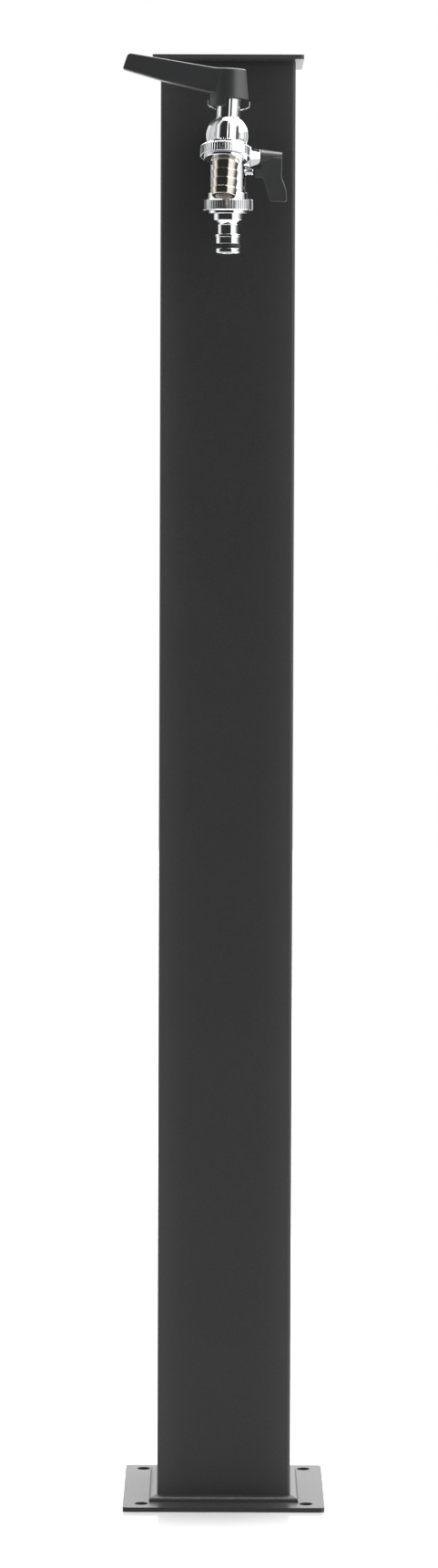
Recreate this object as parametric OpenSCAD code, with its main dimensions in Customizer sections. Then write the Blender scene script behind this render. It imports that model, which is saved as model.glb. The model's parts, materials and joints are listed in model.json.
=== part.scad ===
// Garden water post: a square column with a floor plate and a lid, and a double tap near its top.
// Millimetres. The origin is the centre of the floor plate's underside, +Z is up, the tap faces -Y.

/* [Column] */
// Outer width of the square column
column_w = 90; // [80:1:110]
// Wall of the column tube
column_wall = 2; // [1.5:0.5:3]
// Radius on the column's long edges
column_edge_r = 2.5; // [1:0.5:4]
// Height from the floor to the top of the lid
total_h = 976; // [600:1:1300]

/* [Floor plate] */
// How far the square floor plate stands out past the column
plate_overhang = 23; // [20:0.5:45]
// Thickness of the floor plate
plate_t = 3; // [2:0.5:8]
// Corner radius of the floor plate
plate_corner_r = 3; // [1:0.5:8]
// Distance from the plate's edges in to the bolt holes
bolt_inset = 12.5; // [9:0.5:13]
// Diameter of the bolt holes
bolt_hole_d = 9; // [6:0.5:10]
// Diameter of the pipe hole in the middle
pipe_hole_d = 72; // [66:1:76]
// How far the weld bead reaches out from the column
weld_leg = 5.5; // [3:0.5:7]
// How far the weld bead climbs up the column
weld_rise = 3.9; // [2:0.1:6]

/* [Lid] */
// How far the lid stands out past the column
lid_overhang = 5.5; // [2:0.5:10]
// Thickness of the lid plate
lid_t = 3; // [2:0.5:6]
// Corner radius of the lid plate
lid_corner_r = 2.5; // [1:0.5:6]
// Thickness of the seal under the lid
seal_t = 1.2; // [0.8:0.1:2]
// Height of the plug skirt inside the column
plug_h = 18; // [10:1:30]

/* [Tap position] */
// Height of the water run below the top of the lid
run_drop = 58; // [50:1:90]
// Distance from the column's face to the rear outlet's axis
rear_reach = 28; // [26:0.5:34]
// Distance from the rear outlet's axis to the front ball
front_reach = 44; // [42:0.5:52]
// How far the front tap leans about its own run, in degrees
front_roll = 2.6; // [0:0.1:5]
// How far the front tap points off straight ahead, in degrees
front_yaw = 0.8; // [0:0.1:2]

/* [Rear valve] */
// Outer diameter of the run and of the rear outlet's tube
valve_d = 24.7; // [24.5:0.1:26]
// Bore of the water run
run_bore_d = 8.4; // [7:0.1:8.6]
// Distance from the run down to the side stem
wing_drop = 11.5; // [11.4:0.1:12.5]
// Diameter of the rear ball
rear_ball_d = 12.4; // [12:0.1:12.6]
// Bore of the rear ball
rear_ball_bore_d = 6.8; // [5:0.1:7]
// Distance from the run down to the shoulder above the rear nut
rear_shoulder_drop = 35; // [34:0.5:40]
// Diameter of the rear stem
rear_stem_d = 6; // [5:0.1:6.4]
// Width of the rear gland nut over its corners, at its inner end
rear_gland_d = 14.4; // [13:0.1:15]

/* [Wing handle] */
// Length of the wing handle's hub along its axis
wing_hub_len = 14.1; // [12:0.1:18]
// Diameter of the hub at its inner end
wing_hub_d = 11; // [9.5:0.1:12]
// Distance from the stem's axis down to the tip of the arm
wing_arm_len = 29.3; // [26:0.1:40]
// Thickness of the arm at the hub
wing_arm_t = 9; // [7:0.1:10]

/* [Front tap] */
// Outer diameter of the round ball housing
housing_d = 27.5; // [27:0.1:29]
// Diameter of the front ball
front_ball_d = 15.2; // [14.5:0.1:15.6]
// Bore of the front ball and of the front run
front_bore_d = 10; // [7:0.1:10.2]
// Outer diameter of the tower that carries the stem
tower_d = 15.4; // [14:0.1:16]
// Height of the tower above the run
tower_h = 24; // [22:0.5:28]
// Diameter of the front stem
front_stem_d = 7; // [6:0.1:7.4]
// Outer diameter of the spout's barrel
spout_d = 15.4; // [14:0.1:16]
// Distance from the front ball forward to the spout
spout_reach = 23; // [22.5:0.5:28]
// Height of the spout's dome centre above the run
spout_rise = 3.3; // [0:0.1:4]
// How far the spout leans forward, in degrees
spout_tilt = 14.5; // [0:0.5:25]

/* [Lever handle] */
// Diameter of the lever's hub at its top
hub_top_d = 20.4; // [18:0.1:23]
// Diameter of the lever's hub at its foot
hub_foot_d = 25.2; // [24:0.1:25.4]
// Height of the hub above its foot
hub_h = 20.6; // [18:0.1:26]
// Distance from the stem's axis to the tip of the lever
lever_len = 69.8; // [55:0.1:100]
// Width of the lever's arm at the hub, seen from above
lever_root_w = 17; // [12:0.1:19]
// Width of the lever's arm at the tip, seen from above
lever_tip_w = 12; // [9:0.1:16]
// Diameter of the wire clip's wire
wire_d = 0.8; // [0.6:0.1:1]

/* [Outlets] */
// Pitch diameter of the outlet threads, which are drawn plain
outlet_thread_d = 25.3; // [25:0.1:25.8]
// Diameter over the knurl of both union nuts
nut_d = 32.9; // [31:0.1:36]
// Height of the knurled band of the spout's nut
spout_knurl_h = 6.7; // [5:0.1:9]
// Height of the knurled band of the rear nut
rear_knurl_h = 7.2; // [5:0.1:9]
// Number of ribs round each union nut
rib_count = 60; // [24:1:72]
// Bore of the hose tail
tail_bore_d = 10.4; // [6:0.1:11]
// Outer diameter of the hose tail's barbs
barb_d = 16.7; // [16:0.1:18]
// Number of barbs
barb_count = 4; // [2:1:5]
// Distance between the barbs
barb_pitch = 5.9; // [4:0.1:7]
// Outer diameter of the click nozzle's land
nozzle_d = 16.9; // [16.5:0.1:17.5]
// Bore of the click nozzle
nozzle_bore_d = 9; // [5:0.1:10]

/* [Riser] */
// Outer diameter of the riser pipe
pipe_d = 15; // [12:0.5:15]
// Wall of the riser pipe
pipe_wall = 1; // [0.7:0.1:2]
// Distance from the column's inner face to the riser's axis
riser_set = 23; // [22:0.5:26]
// Major diameter of the inlet thread at the foot
inlet_thread_d = 20.96; // [20:0.01:22]
// Height of the inlet thread's end above the floor
inlet_z = 12; // [8:1:40]

/* [Hidden] */
$fn = 64;

coat_color = "#3a3b3c";
chrome_color = "#d3d6da";
brass_color = "#c8a35a";
nickel_color = "#a89f90";
copper_color = "#b87650";
plastic_color = "#242628";
rubber_color = "#17181a";
seat_color = "#eeeeea";

// One overrun for every cut, and the clearances between pieces
cut = 1;
fit_gap = 0.05;
turn_gap = 0.08;
hand_gap = 0.3;

// Column, plate and lid
column_half = column_w / 2;
inner_half = column_half - column_wall;
plate_w = column_w + 2 * plate_overhang;
bolt_at = plate_w / 2 - bolt_inset;
tube_top = total_h - lid_t - seal_t;
lid_z = total_h - lid_t;
run_z = total_h - run_drop;
seal_inset = 0.6;
plug_wall = 2;
plug_half = inner_half - hand_gap;

// Threaded run of the tap, drawn plain at the pitch diameter
run_thread_d = 19.8;
run_thread_r = run_thread_d / 2;
wall_hole_gap = 0.6;
wall_hole_r = run_thread_r + wall_hole_gap;
washer_t = 1.5;
backnut_af = 27;
backnut_h = 6;
spigot_in = 17;
valve_r = valve_d / 2;
valve_bulge = 0.5;
valve_rear_step = 0.35;
valve_front_step = 0.75;
rear_bore_step = 0.3;
rear_y = -(column_half + rear_reach);
wall_flange_len = rear_reach - washer_t;
socket_len = 12;
tee_front = 24;

// Inside the rear valve
wing_z = run_z - wing_drop;
rear_ball_r = rear_ball_d / 2;
rear_pocket_gap = 0.8;
rear_pocket_r = rear_ball_r + rear_pocket_gap;
rear_seat_t = 3.3;
rear_seat_reach = 6.4;
rear_cavity_step = 1;
rear_cavity_r = rear_pocket_r + rear_cavity_step;
rear_thread_len = 9.4;
rear_end_drop = rear_shoulder_drop + rear_thread_len;
rear_groove_w = 0.8;
rear_groove_up = 2.6;
rear_groove_depth = 0.5;
seat_ring_h = 6;
boss_step = 0.4;
boss_r = rear_gland_d / 2 + boss_step;
boss_len = 14.5;
rear_gland_len = 6.8;
rear_gland_taper = 1.3;
rear_gland_turn = 15;
rear_stem_r = rear_stem_d / 2;
packing_wall = 1.6;
packing_len = 1.8;
packing_in = 3.9;
stop_r = 2.6;
stop_drop = 9.4;
stop_len = 17.2;
tang_t = 2.2;
tang_in = 4.3;
tang_w_share = 0.8;

// Wing handle
wing_x = boss_len + rear_gland_len + hand_gap;
wing_drive_af = 4.4;
wing_drive_len = 8.4;
wing_hub_tip_share = 0.62;
wing_skirt_in = 3.8;
wing_skirt_len = 13.5;
wing_arm_tip_t_share = 0.72;
wing_kink_share = 0.75;
wing_kick = 3.4;
wing_tip_w = 11.2;
wing_screw_r = 1.5;
wing_head_r = 2.8;
wing_head_h = 2;
wing_head_floor = 2.7;
wing_screw_len = 7;

// Front tap, measured from its ball
front_inlet_af = 23.5;
front_rear_face = 13;
hex_len = front_reach - tee_front - front_rear_face;
front_pocket_gap = 1.45;
front_pocket_r = front_ball_d / 2 + front_pocket_gap;
front_seat_t = 3.7;
front_seat_reach = 7.6;
rear_collar_r = 12.2;
rear_collar_len = 9;
housing_r = housing_d / 2;
front_collar_r = 12.7;
front_collar_from = 5;
front_collar_to = 11;
front_collar_step = 1.3;
neck_from = 12.6;
neck_r = 9.4;
neck_to = 18;
neck_round = 2;
round_share = 1 / 3;
tower_r = tower_d / 2;
front_stem_r = front_stem_d / 2;
front_packing_wall = 1.7;
front_packing_h = 2.5;
front_packing_in = 6;
gland_head_h = 3;
gland_head_af = 11;
tower_rib_w = 0.9;
tower_rib_out = 0.6;
front_drive_af = 5.6;
front_drive_len = 9;
front_tang_in = 5.8;

// Lever handle, heights measured from the run
hub_foot_z = 23.1;
skirt_drop = 3.5;
skirt_edge_x = 1;
skirt_wall = 1.7;
cavity_h = 5.6;
hub_edge_r = 1.2;
lever_screw_r = 2;
lever_head_r = 4.4;
lever_head_h = 3;
lever_head_sink = 1;
lever_tip_lean = 3.1;
lever_top_rise = 7;
arm_foot_share = 0.2;
arm_bend_shares = [0.64, 0.52];
arm_tip_share = 0.82;

// Wire clip
clip_z = 17.2;
clip_reach = 13.4;
clip_lift = 2.3;
clip_end_h = 3.4;
wire_r = wire_d / 2;

// Outlets
spout_r = spout_d / 2;
outlet_r = outlet_thread_d / 2;
nut_r = nut_d / 2;
rib_depth = 0.75;
rib_chamfer = 0.5;
nut_bore_r = outlet_r + turn_gap;
spout_nut_top = 10.7;
spout_collar_h = 2.1;
spout_foot_h = 1.8;
spout_collar_r = 14;
spout_thread_from = 11.2;
spout_face = 17;
outlet_washer_t = 1.6;
flange_t = 1.65;
flange_gap = 0.25;
flange_r = outlet_r - flange_gap;
rear_collar_h = 4.4;
rear_foot_h = 2.3;
rear_nut_collar_r = 13.85;
rear_nut_foot_r = 13.4;
rear_nut_gap = 0.1;

// Hose tail
tail_root_r = 9;
tail_root_len = 1.6;
tail_end_chamfer = 0.6;
barb_last_len = 5;
barb_step = 0.75;
barb_land = 0.5;

// Click nozzle, lengths down from the nut
nozzle_r = nozzle_d / 2;
nozzle_collar_r = 10.15;
nozzle_collar_len = 4.1;
nozzle_taper_len = 3;
nozzle_neck_r = 7.15;
nozzle_neck_len = 6.3;
nozzle_rib_r = 8.9;
nozzle_rib_len = 1.8;
nozzle_land_len = 4.5;
o_ring_d = 2.6;
o_ring_groove_w = 3.1;
nozzle_end_len = 3.4;
nozzle_end_chamfer = 0.8;

// Riser
pipe_r = pipe_d / 2;
riser_y = -(inner_half - riser_set);
elbow_r = 12.5;
elbow_leg_r = 10.8;
elbow_drop = 18;
elbow_socket = 7;
compression_af = 24;
compression_h = 12;
inlet_len = 14;
inlet_hex_h = 6;
inlet_cup_h = 12;
elbow_face_gap = 1;

// Helpers
module rounded_square(w, r) {
    square([w - 2 * r, w], center = true);
    square([w, w - 2 * r], center = true);
    for (x = [-1, 1], y = [-1, 1])
        translate([x * (w / 2 - r), y * (w / 2 - r)]) circle(r = r);
}

module ring(r_out, r_in, h) {
    difference() {
        cylinder(r = r_out, h = h);
        translate([0, 0, -cut]) cylinder(r = r_in, h = h + 2 * cut);
    }
}

module hexagon(af, h) {
    cylinder(d = af / cos(30), h = h, $fn = 6);
}

// A spanner hexagon whose corners are turned off by a chamfer
module hex_nut(af, h, chamfer) {
    intersection() {
        hexagon(af, h);
        rotate_extrude() polygon([[0, 0], [af / cos(30) / 2 - chamfer, 0],
            [af / cos(30) / 2, chamfer], [af / cos(30) / 2, h - chamfer],
            [af / cos(30) / 2 - chamfer, h], [0, h]]);
    }
}

// A round bar from one point to another at the same y
module wire(from, to) {
    step = to - from;
    translate(from) rotate([0, atan2(step[0], step[2]), 0]) cylinder(r = wire_r, h = norm(step));
}

// Places: the run, the front tap, its ball, the spout and the rear outlet
module at_run() { translate([0, rear_y, run_z]) children(); }
module at_front() { at_run() rotate([0, front_roll, -front_yaw]) children(); }
module at_ball() { at_front() translate([0, -front_reach, 0]) children(); }
module at_spout() { at_ball() translate([0, -spout_reach, spout_rise]) rotate([-spout_tilt, 0, 0]) children(); }
module at_wing() { translate([0, rear_y, wing_z]) rotate([0, 90, 0]) children(); }
module at_rear_end() { translate([0, rear_y, run_z - rear_end_drop]) children(); }

// Turns a shape that is drawn upwards so that it points forwards, along -Y
module forwards() { rotate([90, 0, 0]) children(); }
module backwards() { rotate([-90, 0, 0]) children(); }

module column_tube() {
    color(coat_color) difference() {
        translate([0, 0, plate_t]) linear_extrude(tube_top - plate_t) rounded_square(column_w, column_edge_r);
        translate([0, 0, plate_t - cut]) linear_extrude(tube_top - plate_t + 2 * cut)
            square(2 * inner_half, center = true);
        translate([0, -inner_half + cut, run_z]) forwards() cylinder(r = wall_hole_r, h = column_wall + 2 * cut);
    }
}

module base_plate() {
    color(coat_color) difference() {
        linear_extrude(plate_t) rounded_square(plate_w, plate_corner_r);
        translate([0, 0, -cut]) cylinder(d = pipe_hole_d, h = plate_t + 2 * cut);
        for (x = [-1, 1], y = [-1, 1])
            translate([x * bolt_at, y * bolt_at, -cut])
                cylinder(d = bolt_hole_d, h = plate_t + 2 * cut);
    }
}

// The bead is slightly full, and its four runs meet in mitres
weld_shares = [[1, 0], [0.93, 0.3], [0.68, 0.68], [0.32, 0.93], [0, 1]];
module base_weld() {
    reach = column_half + weld_leg;
    color(coat_color) translate([0, 0, plate_t]) difference() {
        for (turn = [0:3]) rotate([0, 0, 90 * turn]) intersection() {
            translate([-reach, 0, 0]) rotate([90, 0, 90]) linear_extrude(2 * reach)
                polygon(concat([[0, 0]],
                    [for (p = weld_shares) [column_half + p[0] * weld_leg, p[1] * weld_rise]],
                    [[0, weld_rise]]));
            linear_extrude(weld_rise) polygon([[0, 0], [reach, reach], [-reach, reach]]);
        }
        translate([0, 0, -cut]) linear_extrude(weld_rise + 2 * cut) rounded_square(column_w, column_edge_r);
    }
}

module lid_plate() {
    color(coat_color) translate([0, 0, lid_z])
        linear_extrude(lid_t) rounded_square(column_w + 2 * lid_overhang, lid_corner_r);
}

module lid_seal() {
    color(rubber_color) translate([0, 0, tube_top]) linear_extrude(seal_t) difference() {
        rounded_square(column_w - 2 * seal_inset, column_edge_r);
        square(2 * (plug_half + fit_gap), center = true);
    }
}

module lid_plug() {
    color(coat_color) translate([0, 0, lid_z - plug_h]) linear_extrude(plug_h) difference() {
        square(2 * plug_half, center = true);
        square(2 * (plug_half - plug_wall), center = true);
    }
}

module riser_pipe() {
    foot = inlet_z + inlet_len + inlet_hex_h;
    color(copper_color) translate([0, riser_y, foot])
        ring(pipe_r, pipe_r - pipe_wall, run_z - elbow_drop + elbow_socket - foot);
}

// Elbow behind the column's front wall: a socket for the valve, a socket for the pipe
module riser_elbow() {
    reach = inner_half - backnut_h - elbow_face_gap + riser_y;
    color(brass_color) difference() {
        union() {
            translate([0, riser_y, run_z]) forwards() cylinder(r = elbow_r, h = reach);
            translate([0, riser_y, run_z]) sphere(r = elbow_r);
            translate([0, riser_y, run_z - elbow_drop]) cylinder(r = elbow_leg_r, h = elbow_drop);
        }
        translate([0, -column_half + column_wall + spigot_in + fit_gap, run_z]) forwards()
            cylinder(r = run_thread_r + fit_gap, h = spigot_in);
        translate([0, riser_y, run_z]) forwards() cylinder(r = pipe_r - pipe_wall, h = reach);
        translate([0, riser_y, run_z]) sphere(r = pipe_r - pipe_wall);
        translate([0, riser_y, run_z - elbow_drop]) cylinder(r = pipe_r - pipe_wall, h = elbow_drop);
        translate([0, riser_y, run_z - elbow_drop - cut]) cylinder(r = pipe_r + fit_gap, h = elbow_socket + cut);
    }
}

module compression_nut() {
    difference() {
        hex_nut(compression_af, compression_h, cut);
        translate([0, 0, -cut]) cylinder(r = pipe_r + fit_gap, h = compression_h + 2 * cut);
    }
}

module elbow_nut() {
    color(brass_color) translate([0, riser_y, run_z - elbow_drop - compression_h]) compression_nut();
}

module inlet_adapter() {
    color(brass_color) translate([0, riser_y, inlet_z]) difference() {
        union() {
            cylinder(d = inlet_thread_d, h = inlet_len);
            translate([0, 0, inlet_len]) hex_nut(compression_af, inlet_hex_h, cut);
            translate([0, 0, inlet_len + inlet_hex_h]) cylinder(r = elbow_leg_r, h = inlet_cup_h);
        }
        translate([0, 0, -cut]) cylinder(r = pipe_r - pipe_wall, h = inlet_len + inlet_hex_h + 2 * cut);
        translate([0, 0, inlet_len + inlet_hex_h]) cylinder(r = pipe_r + fit_gap, h = inlet_cup_h + cut);
    }
}

module adapter_nut() {
    color(brass_color) translate([0, riser_y, inlet_z + inlet_len + inlet_hex_h + inlet_cup_h]) compression_nut();
}

module wall_washer() {
    color(rubber_color) translate([0, -column_half, run_z]) forwards()
        ring(valve_r, run_thread_r + fit_gap, washer_t);
}

module wall_backnut() {
    color(brass_color) translate([0, -inner_half + backnut_h, run_z]) forwards() difference() {
        hex_nut(backnut_af, backnut_h, cut);
        translate([0, 0, -cut]) cylinder(r = run_thread_r + fit_gap, h = backnut_h + 2 * cut);
    }
}

// Rear valve: a tee with a spigot through the column's wall, a socket in front and an outlet below
module rear_valve_body() {
    spigot_len = wall_flange_len + washer_t + column_wall + spigot_in;
    color(chrome_color) difference() {
        union() {
            at_run() sphere(r = valve_r + valve_bulge);
            at_run() backwards() cylinder(r = valve_r - valve_rear_step, h = wall_flange_len);
            at_run() backwards() cylinder(r = run_thread_r, h = spigot_len);
            at_front() forwards() cylinder(r = valve_r - valve_front_step, h = tee_front);
            at_run() translate([0, 0, -rear_shoulder_drop]) cylinder(r = valve_r, h = rear_shoulder_drop);
            at_rear_end() cylinder(r = outlet_r, h = rear_end_drop - rear_shoulder_drop);
            at_wing() cylinder(r = boss_r, h = boss_len);
            translate([0, 0, -stop_drop]) at_wing() stop_lug();
        }
        at_run() backwards() cylinder(r = run_bore_d / 2 - rear_bore_step, h = spigot_len + cut);
        at_front() forwards() cylinder(d = run_bore_d, h = tee_front + cut);
        at_front() translate([0, socket_len - tee_front, 0]) forwards()
            cylinder(r = run_thread_r + fit_gap, h = socket_len + cut);
        at_run() translate([0, 0, -wing_drop]) cylinder(d = rear_ball_bore_d, h = wing_drop);
        at_run() translate([0, 0, -wing_drop - rear_seat_reach]) cylinder(r = rear_pocket_r, h = 2 * rear_seat_reach);
        at_rear_end() translate([0, 0, -cut])
            cylinder(r = rear_cavity_r, h = rear_end_drop - wing_drop - rear_seat_reach + cut);
        at_wing() cylinder(r = rear_stem_r + fit_gap, h = boss_len + cut);
        at_wing() translate([0, 0, boss_len - packing_in])
            cylinder(r = rear_stem_r + packing_wall, h = packing_in + cut);
        at_run() translate([0, 0, rear_groove_up - rear_shoulder_drop])
            ring(valve_r + cut, valve_r - rear_groove_depth, rear_groove_w);
    }
}

module stop_lug() {
    cylinder(r = stop_r, h = stop_len - stop_r);
    translate([0, 0, stop_len - stop_r]) sphere(r = stop_r);
}

// A ball with a bore along Z and a slot for the stem on its +X side
module valve_ball(r, bore_r, slot_from, slot_w) {
    difference() {
        sphere(r = r);
        translate([0, 0, -r - cut]) cylinder(r = bore_r, h = 2 * (r + cut));
        translate([slot_from, -r, -slot_w / 2]) cube([r, 2 * r, slot_w]);
    }
}

// Two cupped rings, one on each side of a ball that sits at the origin, along Z
module ball_seats(r_ball, r_out, r_in, reach, t) {
    for (side = [0, 1]) mirror([0, 0, side]) difference() {
        translate([0, 0, reach - t]) ring(r_out, r_in, t);
        sphere(r = r_ball + fit_gap);
    }
}

module rear_ball() {
    color(chrome_color) translate([0, rear_y, wing_z])
        valve_ball(rear_ball_r, rear_ball_bore_d / 2, tang_in - fit_gap, tang_t + 2 * fit_gap);
}

module rear_ball_seats() {
    color(seat_color) translate([0, rear_y, wing_z])
        ball_seats(rear_ball_r, rear_pocket_r - fit_gap, rear_ball_bore_d / 2, rear_seat_reach, rear_seat_t);
}

module rear_seat_ring() {
    color(brass_color) translate([0, rear_y, wing_z - rear_seat_reach - seat_ring_h])
        ring(rear_cavity_r - fit_gap, rear_ball_bore_d / 2, seat_ring_h);
}

// A stem along Z: a flat tang for the ball, a round shank and a square drive with a screw hole
module valve_stem(r, tang_from, tang_to, shank_to, drive_af, drive_len, tang_w, screw_r, screw_in) {
    difference() {
        union() {
            translate([-tang_t / 2, -tang_w / 2, tang_from]) cube([tang_t, tang_w, tang_to - tang_from + cut]);
            translate([0, 0, tang_to]) cylinder(r = r, h = shank_to - tang_to);
            translate([-drive_af / 2, -drive_af / 2, shank_to]) cube([drive_af, drive_af, drive_len]);
        }
        translate([0, 0, shank_to + drive_len - screw_in])
            cylinder(r = screw_r + fit_gap, h = screw_in + cut);
    }
}

module rear_stem() {
    color(brass_color) at_wing() valve_stem(rear_stem_r, tang_in, rear_ball_r + fit_gap, wing_x, wing_drive_af,
        wing_drive_len, tang_w_share * rear_stem_d, wing_screw_r, wing_screw_len);
}

module rear_stem_seal() {
    color(seat_color) at_wing() translate([0, 0, boss_len - packing_in])
        ring(rear_stem_r + packing_wall - fit_gap, rear_stem_r + fit_gap, packing_len);
}

module rear_gland_nut() {
    r = rear_gland_d / 2;
    nose = packing_in - packing_len;
    color(chrome_color) at_wing() translate([0, 0, boss_len]) difference() {
        union() {
            rotate([0, 0, -rear_gland_turn]) cylinder(r1 = r, r2 = r - rear_gland_taper, h = rear_gland_len, $fn = 6);
            translate([0, 0, -nose]) cylinder(r = rear_stem_r + packing_wall - fit_gap, h = nose + cut);
        }
        translate([0, 0, -nose - cut]) cylinder(r = rear_stem_r + fit_gap, h = nose + rear_gland_len + 2 * cut);
    }
}

// Wing handle: a tapering hub on the stem and one flat arm that hangs from it and kicks outwards
module wing_handle() {
    tip_x = wing_x + wing_hub_len;
    skirt_x = wing_x - wing_skirt_in;
    skirt_top = rear_gland_d / 2 + hand_gap;
    kink_z = wing_kink_share * wing_arm_len;
    arm_tip_t = wing_arm_tip_t_share * wing_arm_t;
    color(plastic_color) translate([0, rear_y, wing_z]) difference() {
        union() {
            rotate([0, 90, 0]) translate([0, 0, wing_x])
                cylinder(d1 = wing_hub_d, d2 = wing_hub_tip_share * wing_hub_d, h = wing_hub_len);
            intersection() {
                rotate([90, 0, 0]) linear_extrude(wing_arm_t, center = true) polygon([
                    [wing_x, 0], [wing_x, -skirt_top], [skirt_x, -skirt_top], [skirt_x, -wing_skirt_len],
                    [wing_x + cut, -wing_skirt_len], [tip_x + wing_kick - wing_tip_w, -wing_arm_len],
                    [tip_x + wing_kick, -wing_arm_len], [tip_x + wing_kick - hand_gap, -kink_z],
                    [tip_x, -wing_skirt_len], [tip_x, 0]]);
                rotate([90, 0, 90]) linear_extrude(tip_x + wing_kick + cut) polygon([
                    [-wing_arm_t / 2, 0], [-arm_tip_t / 2, -wing_arm_len],
                    [arm_tip_t / 2, -wing_arm_len], [wing_arm_t / 2, 0]]);
            }
        }
        translate([wing_x - cut, -wing_drive_af / 2 - fit_gap, -wing_drive_af / 2 - fit_gap])
            cube([wing_drive_len + fit_gap + cut, wing_drive_af + 2 * fit_gap, wing_drive_af + 2 * fit_gap]);
        rotate([0, 90, 0]) translate([0, 0, wing_x]) cylinder(r = wing_screw_r + fit_gap, h = wing_hub_len + cut);
        rotate([0, 90, 0]) translate([0, 0, tip_x - wing_head_floor])
            cylinder(r = wing_head_r + fit_gap, h = wing_head_floor + cut);
    }
}

// A screw that points down from its head, which rests at height zero
module cap_screw(r, len, head_r, head_h) {
    difference() {
        union() {
            translate([0, 0, -len]) cylinder(r = r, h = len);
            cylinder(r = head_r, h = head_h);
        }
        translate([0, 0, head_h / 2]) hexagon(head_r, head_h);
    }
}

module wing_screw() {
    color(nickel_color) at_wing() translate([0, 0, wing_x + wing_hub_len - wing_head_floor])
        cap_screw(wing_screw_r, wing_screw_len, wing_head_r, wing_head_h);
}

// Outline of a knurled band: one flat-topped rib after another, its shares of a rib's turn and depth
rib_shares = [[0.14, -1], [0.32, 0], [0.68, 0], [0.86, -1]];
module knurl(r, h) {
    turn = 360 / rib_count;
    intersection() {
        linear_extrude(h) polygon([for (i = [0:rib_count - 1]) for (p = rib_shares)
            [(r + p[1] * rib_depth) * cos((i + p[0]) * turn), (r + p[1] * rib_depth) * sin((i + p[0]) * turn)]]);
        rotate_extrude() polygon([[0, 0], [r - rib_chamfer, 0], [r, rib_chamfer], [r, h - rib_chamfer],
            [r - rib_chamfer, h], [0, h]]);
    }
}

// Union nut with its lip at height zero: foot collar, knurled band, head collar
module union_nut(foot_r, foot_h, band_h, head_r, head_h, lip_r) {
    lip_h = foot_h / 2;
    difference() {
        union() {
            cylinder(r = foot_r, h = foot_h);
            translate([0, 0, foot_h]) knurl(nut_r, band_h);
            translate([0, 0, foot_h + band_h]) cylinder(r = head_r, h = head_h);
        }
        translate([0, 0, lip_h]) cylinder(r = nut_bore_r, h = foot_h + band_h + head_h);
        translate([0, 0, -cut]) cylinder(r = lip_r, h = lip_h + 2 * cut);
    }
}

// Heights of the rear nut and of what it clamps, down from the end of the rear outlet
rear_flange_top = -outlet_washer_t;
rear_nut_foot = rear_flange_top - flange_t - rear_nut_gap - rear_foot_h / 2;

module rear_washer() {
    color(rubber_color) at_rear_end() translate([0, 0, -outlet_washer_t])
        ring(flange_r, nozzle_bore_d / 2, outlet_washer_t);
}

module rear_union_nut() {
    color(chrome_color) at_rear_end() translate([0, 0, rear_nut_foot])
        union_nut(rear_nut_foot_r, rear_foot_h, rear_knurl_h, rear_nut_collar_r, rear_collar_h,
            nozzle_collar_r + turn_gap);
}

// Heights along the click nozzle, from its flange down
nozzle_z1 = rear_nut_foot - nozzle_collar_len;
nozzle_z2 = nozzle_z1 - nozzle_taper_len;
nozzle_z3 = nozzle_z2 - nozzle_neck_len;
nozzle_z4 = nozzle_z3 - nozzle_rib_len;
nozzle_z5 = nozzle_z4 - nozzle_land_len;
nozzle_z6 = nozzle_z5 - o_ring_groove_w;
nozzle_z7 = nozzle_z6 - nozzle_end_len;
o_ring_seat_r = nozzle_r - o_ring_d + 3 * fit_gap;

module click_nozzle() {
    bore_r = nozzle_bore_d / 2;
    color(chrome_color) at_rear_end() rotate_extrude() polygon([
        [bore_r, rear_flange_top], [flange_r, rear_flange_top], [flange_r, rear_flange_top - flange_t],
        [nozzle_collar_r, rear_flange_top - flange_t], [nozzle_collar_r, nozzle_z1],
        [nozzle_neck_r, nozzle_z2], [nozzle_neck_r, nozzle_z3], [nozzle_rib_r, nozzle_z3],
        [nozzle_rib_r, nozzle_z4], [nozzle_r, nozzle_z4], [nozzle_r, nozzle_z5],
        [o_ring_seat_r, nozzle_z5], [o_ring_seat_r, nozzle_z6], [nozzle_r, nozzle_z6],
        [nozzle_r, nozzle_z7 + nozzle_end_chamfer], [nozzle_r - nozzle_end_chamfer, nozzle_z7],
        [bore_r, nozzle_z7]]);
}

module nozzle_o_ring() {
    color(rubber_color) at_rear_end() translate([0, 0, (nozzle_z5 + nozzle_z6) / 2]) rotate_extrude()
        translate([o_ring_seat_r + o_ring_d / 2 + fit_gap, 0]) circle(d = o_ring_d);
}

// Front tap: the threaded inlet piece that closes the ball housing
module front_inlet() {
    spigot = front_rear_face - front_seat_reach;
    color(chrome_color) at_ball() difference() {
        union() {
            translate([0, front_reach - tee_front + socket_len - cut, 0]) forwards()
                cylinder(r = run_thread_r, h = socket_len - cut);
            translate([0, front_rear_face + hex_len, 0]) forwards() hexagon(front_inlet_af, hex_len);
            translate([0, front_rear_face, 0]) forwards() cylinder(r = front_pocket_r - fit_gap, h = spigot);
        }
        translate([0, front_reach, 0]) forwards() cylinder(d = front_bore_d, h = front_reach);
    }
}

// Ball housing, tower, neck and elbowed spout
module front_valve_body() {
    color(chrome_color) difference() {
        union() {
            at_ball() housing_outside();
            at_spout() spout_outside();
        }
        at_ball() housing_inside();
        at_spout() translate([0, 0, -spout_face - cut]) cylinder(d = front_bore_d, h = spout_face + cut);
        at_spout() sphere(d = front_bore_d);
    }
}

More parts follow.
